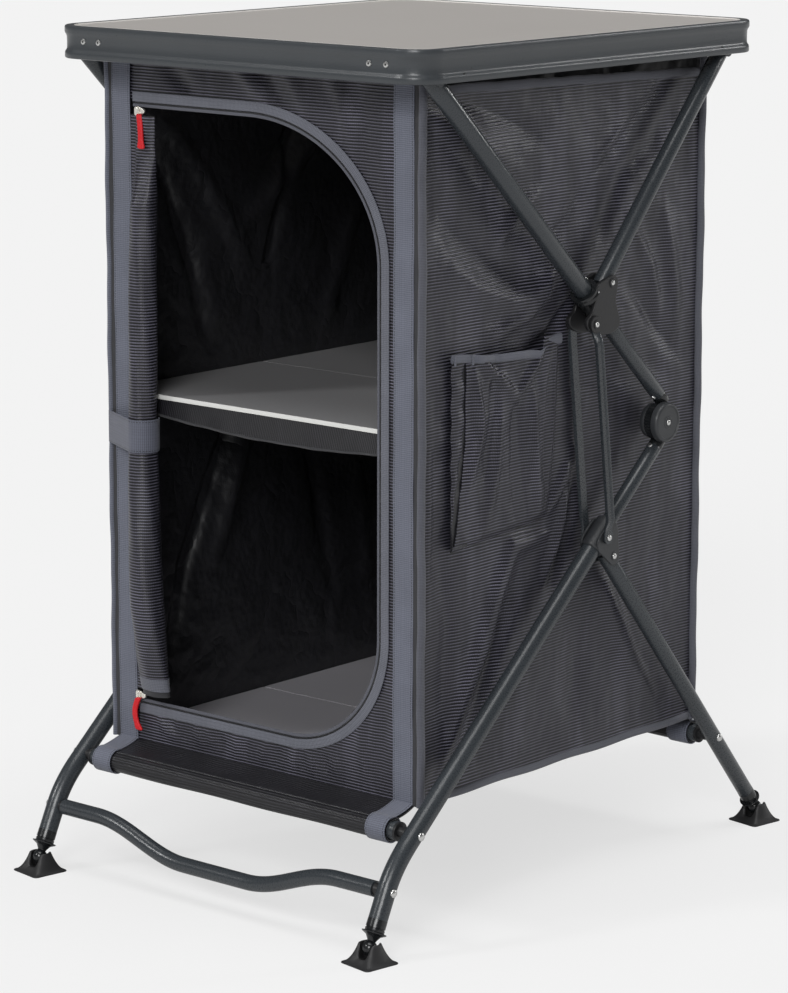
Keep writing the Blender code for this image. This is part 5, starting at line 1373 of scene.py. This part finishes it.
def board_skins(top, thickness):
    """Two halves side by side with eased edges and a fine gap between them."""
    skins = []
    foot = top - thickness
    heights = (foot, foot, foot, foot + 0.0003, foot + 0.0008, top - 0.0008, top - 0.0003, top, top, top)
    for low, high in ((BAG_FRONT + 0.0019, 0.0008), (0.0016, BAG_BACK - 0.0018)):
        middle = np.array([0, (low + high) / 2])
        corners = rounded_rectangle(0.4372, high - low, 0.0022, 4) + middle
        closed = [0 * corners + middle]
        rows = [corners - np.sign(corners - middle) * inset
                for inset in (0.0014, 0.0008, 0.0003, 0.0, 0.0, 0.0003, 0.0008, 0.0014)]
        skins.append(skin(np.array([np.column_stack([row, np.full(len(row), z)])
                                    for row, z in zip(closed + rows + closed, heights)])))
    return skins


piece("shelf_board", board_skins(0.5310, 0.0045), [board], "middle_shelf", "mid_shelf", 20)
piece("floor_board", board_skins(0.14754, 0.0045), [base_laminate_painted_lighter], "base", "base_board", 20)
path = rows_between((-0.2184, BAG_FRONT + 0.0020, 0.52875), (0.2184, BAG_FRONT + 0.0020, 0.52875), 40)
piece("shelf_edge", [carried(path, UP, FRONT, band(0.0050, 0.0007))], [edge_band],
      "middle_shelf")

# The skirt's cloth is dark partly for its own dark mesh and partly as painted shade under the shelf's front
# edge.
skirt_cloth = ribbed_cloth("skirt_cloth", (0.028, 0.027, 0.034), (0.0070, 0.0070, 0.0080), turn=True)
x = np.linspace(-0.2180, 0.2180, 160)
depth = 0.0060 + 0.0215 * np.clip(1 - ((x - 0.03) / 0.25) ** 2, 0, 1) ** 0.8
t = np.linspace(0, 1, 16)
z = 0.5262 - depth[None] * t[:, None]
ripple = 0.0015 + 0.0012 * np.sin(x * 60) + 0.0008 * np.sin(x * 143 + 1)
y = BAG_FRONT + 0.0030 + ripple[None] * t[:, None]
grid = grid_of(x[None, :], y, z)
made = piece("sling_skirt", shell(grid, grid_of(x[None, :] + z * 0.25, z), 0.0009, FRONT),
             [skirt_cloth, lining], "middle_shelf", None, 60)
path = grid[-1][::2]
piece("skirt_edging", [carried(path, UP, FRONT, oval(0.0014, 0.0011, 8))], [stitch_tape],
      "middle_shelf", None, 60)
y = np.linspace(BAG_FRONT + 0.003, BAG_BACK - 0.003, 40)
x = np.linspace(-0.2180, 0.2180, 40)
grid = grid_of(x[None, :], y[:, None], 0.5258)
made = piece("sling_cloth", shell(grid, grid[..., :2], 0.0009, (0, 0, -1)), [satin, satin], "middle_shelf",
             "shelf_sling", 60)


# Side pocket: a slack patch of the ribbed cloth on the right panel, bound along its mouth, which
# droops in front and is caught up at its rear corner; a narrow pleat opens along its front edge.

POCKET_FRONT, MOUTH_FALL = -0.1935, 0.074
s, t = np.meshgrid(np.linspace(0, 1, 100), np.linspace(0, 1, 110))
front_edge = -0.1905 + 0.0190 * np.clip(t / 0.55, 0, 1) ** 0.8
y = front_edge + s * (-0.0135 - 0.0160 * (1 - t) ** 2 - front_edge)
caught = np.clip((y + 0.052) / 0.010, 0, 1)
mouth = 0.6075 - MOUTH_FALL * (y - POCKET_FRONT) + 0.0165 * caught * caught * (3 - 2 * caught)
foot = 0.4010 + 0.0900 * (y - POCKET_FRONT)
z = foot + (mouth - foot) * t
seam = np.clip(np.minimum((1 - s) / 0.05, t / 0.04), 0, 1)
lift = 0.0024 + 0.0045 * np.sin(math.pi * s) ** 0.8 * t ** 1.3 + slack(y, z, 61, 8, 0.02, 0.06, 0.0007)
pocket_folds = (
    ([(-155, 602), (-122, 575), (-92, 549)], 7, 4, 0.5),
    ([(-48, 594), (-72, 572), (-92, 552)], 7, 3.6, -0.5),
    ([(-92, 550), (-90, 480), (-80, 415)], 10, -4, 0.3),
    ([(-160, 585), (-152, 530), (-168, 470)], 8, 4.4, 0.4),
    ([(-130, 600), (-128, 540), (-140, 480)], 8, -3.4, 0.4),
    ([(-120, 540), (-125, 480), (-140, 420)], 10, 2.8, 0.4),
    ([(-66, 560), (-62, 490), (-50, 430)], 9, 4, 0.4), ([(-30, 590), (-36, 500), (-35, 430)], 7, -3, 0.4),
)
lift = folded(lift, y, z, pocket_folds)
base = np.clip(lift, 0.0012, 0.0105) * seam + 0.0010 * (1 - seam)
grid = np.stack([BAG_X + 0.0034 + base - 0.0030 * (1 - seam), y, z], -1)
mouth_line = grid[-1]
made = hung("pocket_cloth", shell(grid, np.stack([y, z], -1), 0.0010, RIGHT), [cloth_rib, lining],
            "side_pocket", 60)

s, t = np.meshgrid(np.linspace(0, 1, 14), np.linspace(0, 1, 80))
y = POCKET_FRONT + s * 0.0200 * np.clip((t - 0.10) / 0.50, 0.02, 1)
z = 0.4050 + 0.2010 * t
grid = np.stack([BAG_X + 0.0044 + 0.0014 * np.sin(math.pi * s) + 0.0008 * np.sin(t * 40), y, z], -1)
made = hung("pocket_pleat", shell(grid, np.stack([y, z], -1), 0.0008, RIGHT), [cloth_rib, lining],
            None, 60)
# Behind the pleat, a black sheet of the lining: painted shade in the pleat's gap, where the side cloth would
# show.
y = -0.1925 + s * 0.0260
grid = np.stack([BAG_X + 0.0040 + 0 * s, y, z], -1)
made = hung("pocket_pleat_shade_sheet", shell(grid, np.stack([y, z], -1), 0.0008, RIGHT), [lining, lining],
            None, 60)

pocket_web = woven_tape("pocket_binding", (0.100, 0.105, 0.132), 0.0045, 0.0016, stitched=False)
hem_ring = oval(0.0045, 0.0015, 12)
y = np.linspace(-0.1950, -0.0440, 60)
mouth_x = np.interp(y, mouth_line[:, 1], mouth_line[:, 0])
hem_z = 0.6045 - MOUTH_FALL * (y - POCKET_FRONT) + 0.0010 * np.sin(y * 60)
hem = np.column_stack([mouth_x + 0.0006, y, hem_z])
hem[:, 2] += 0.0080 * np.clip((y + 0.056) / 0.012, 0, 1)
taper = np.clip((-0.0436 - y) / 0.014, 0.12, 1)
hem_skins = [carried(hem, UP, RIGHT, hem_ring, taper)]
raised = rows_between((BAG_X + 0.0060, -0.0400, 0.6065), (BAG_X + 0.0050, -0.0125, 0.6060), 20)
hem_skins.append(carried(raised, UP, RIGHT, hem_ring, 1.25))
for y in (-0.1915, -0.1640):
    proud = np.interp(y, mouth_line[:, 1], mouth_line[:, 0]) + 0.0024
    drop = MOUTH_FALL * (y - POCKET_FRONT)
    bar = rows_between((proud, y, 0.5985 - drop), (proud, y, 0.6095 - drop), 8)
    hem_skins.append(carried(bar, (0, 1, 0), RIGHT, oval(0.0016, 0.0007, 12)))
hung("pocket_edging", hem_skins, [pocket_web], None, 60)
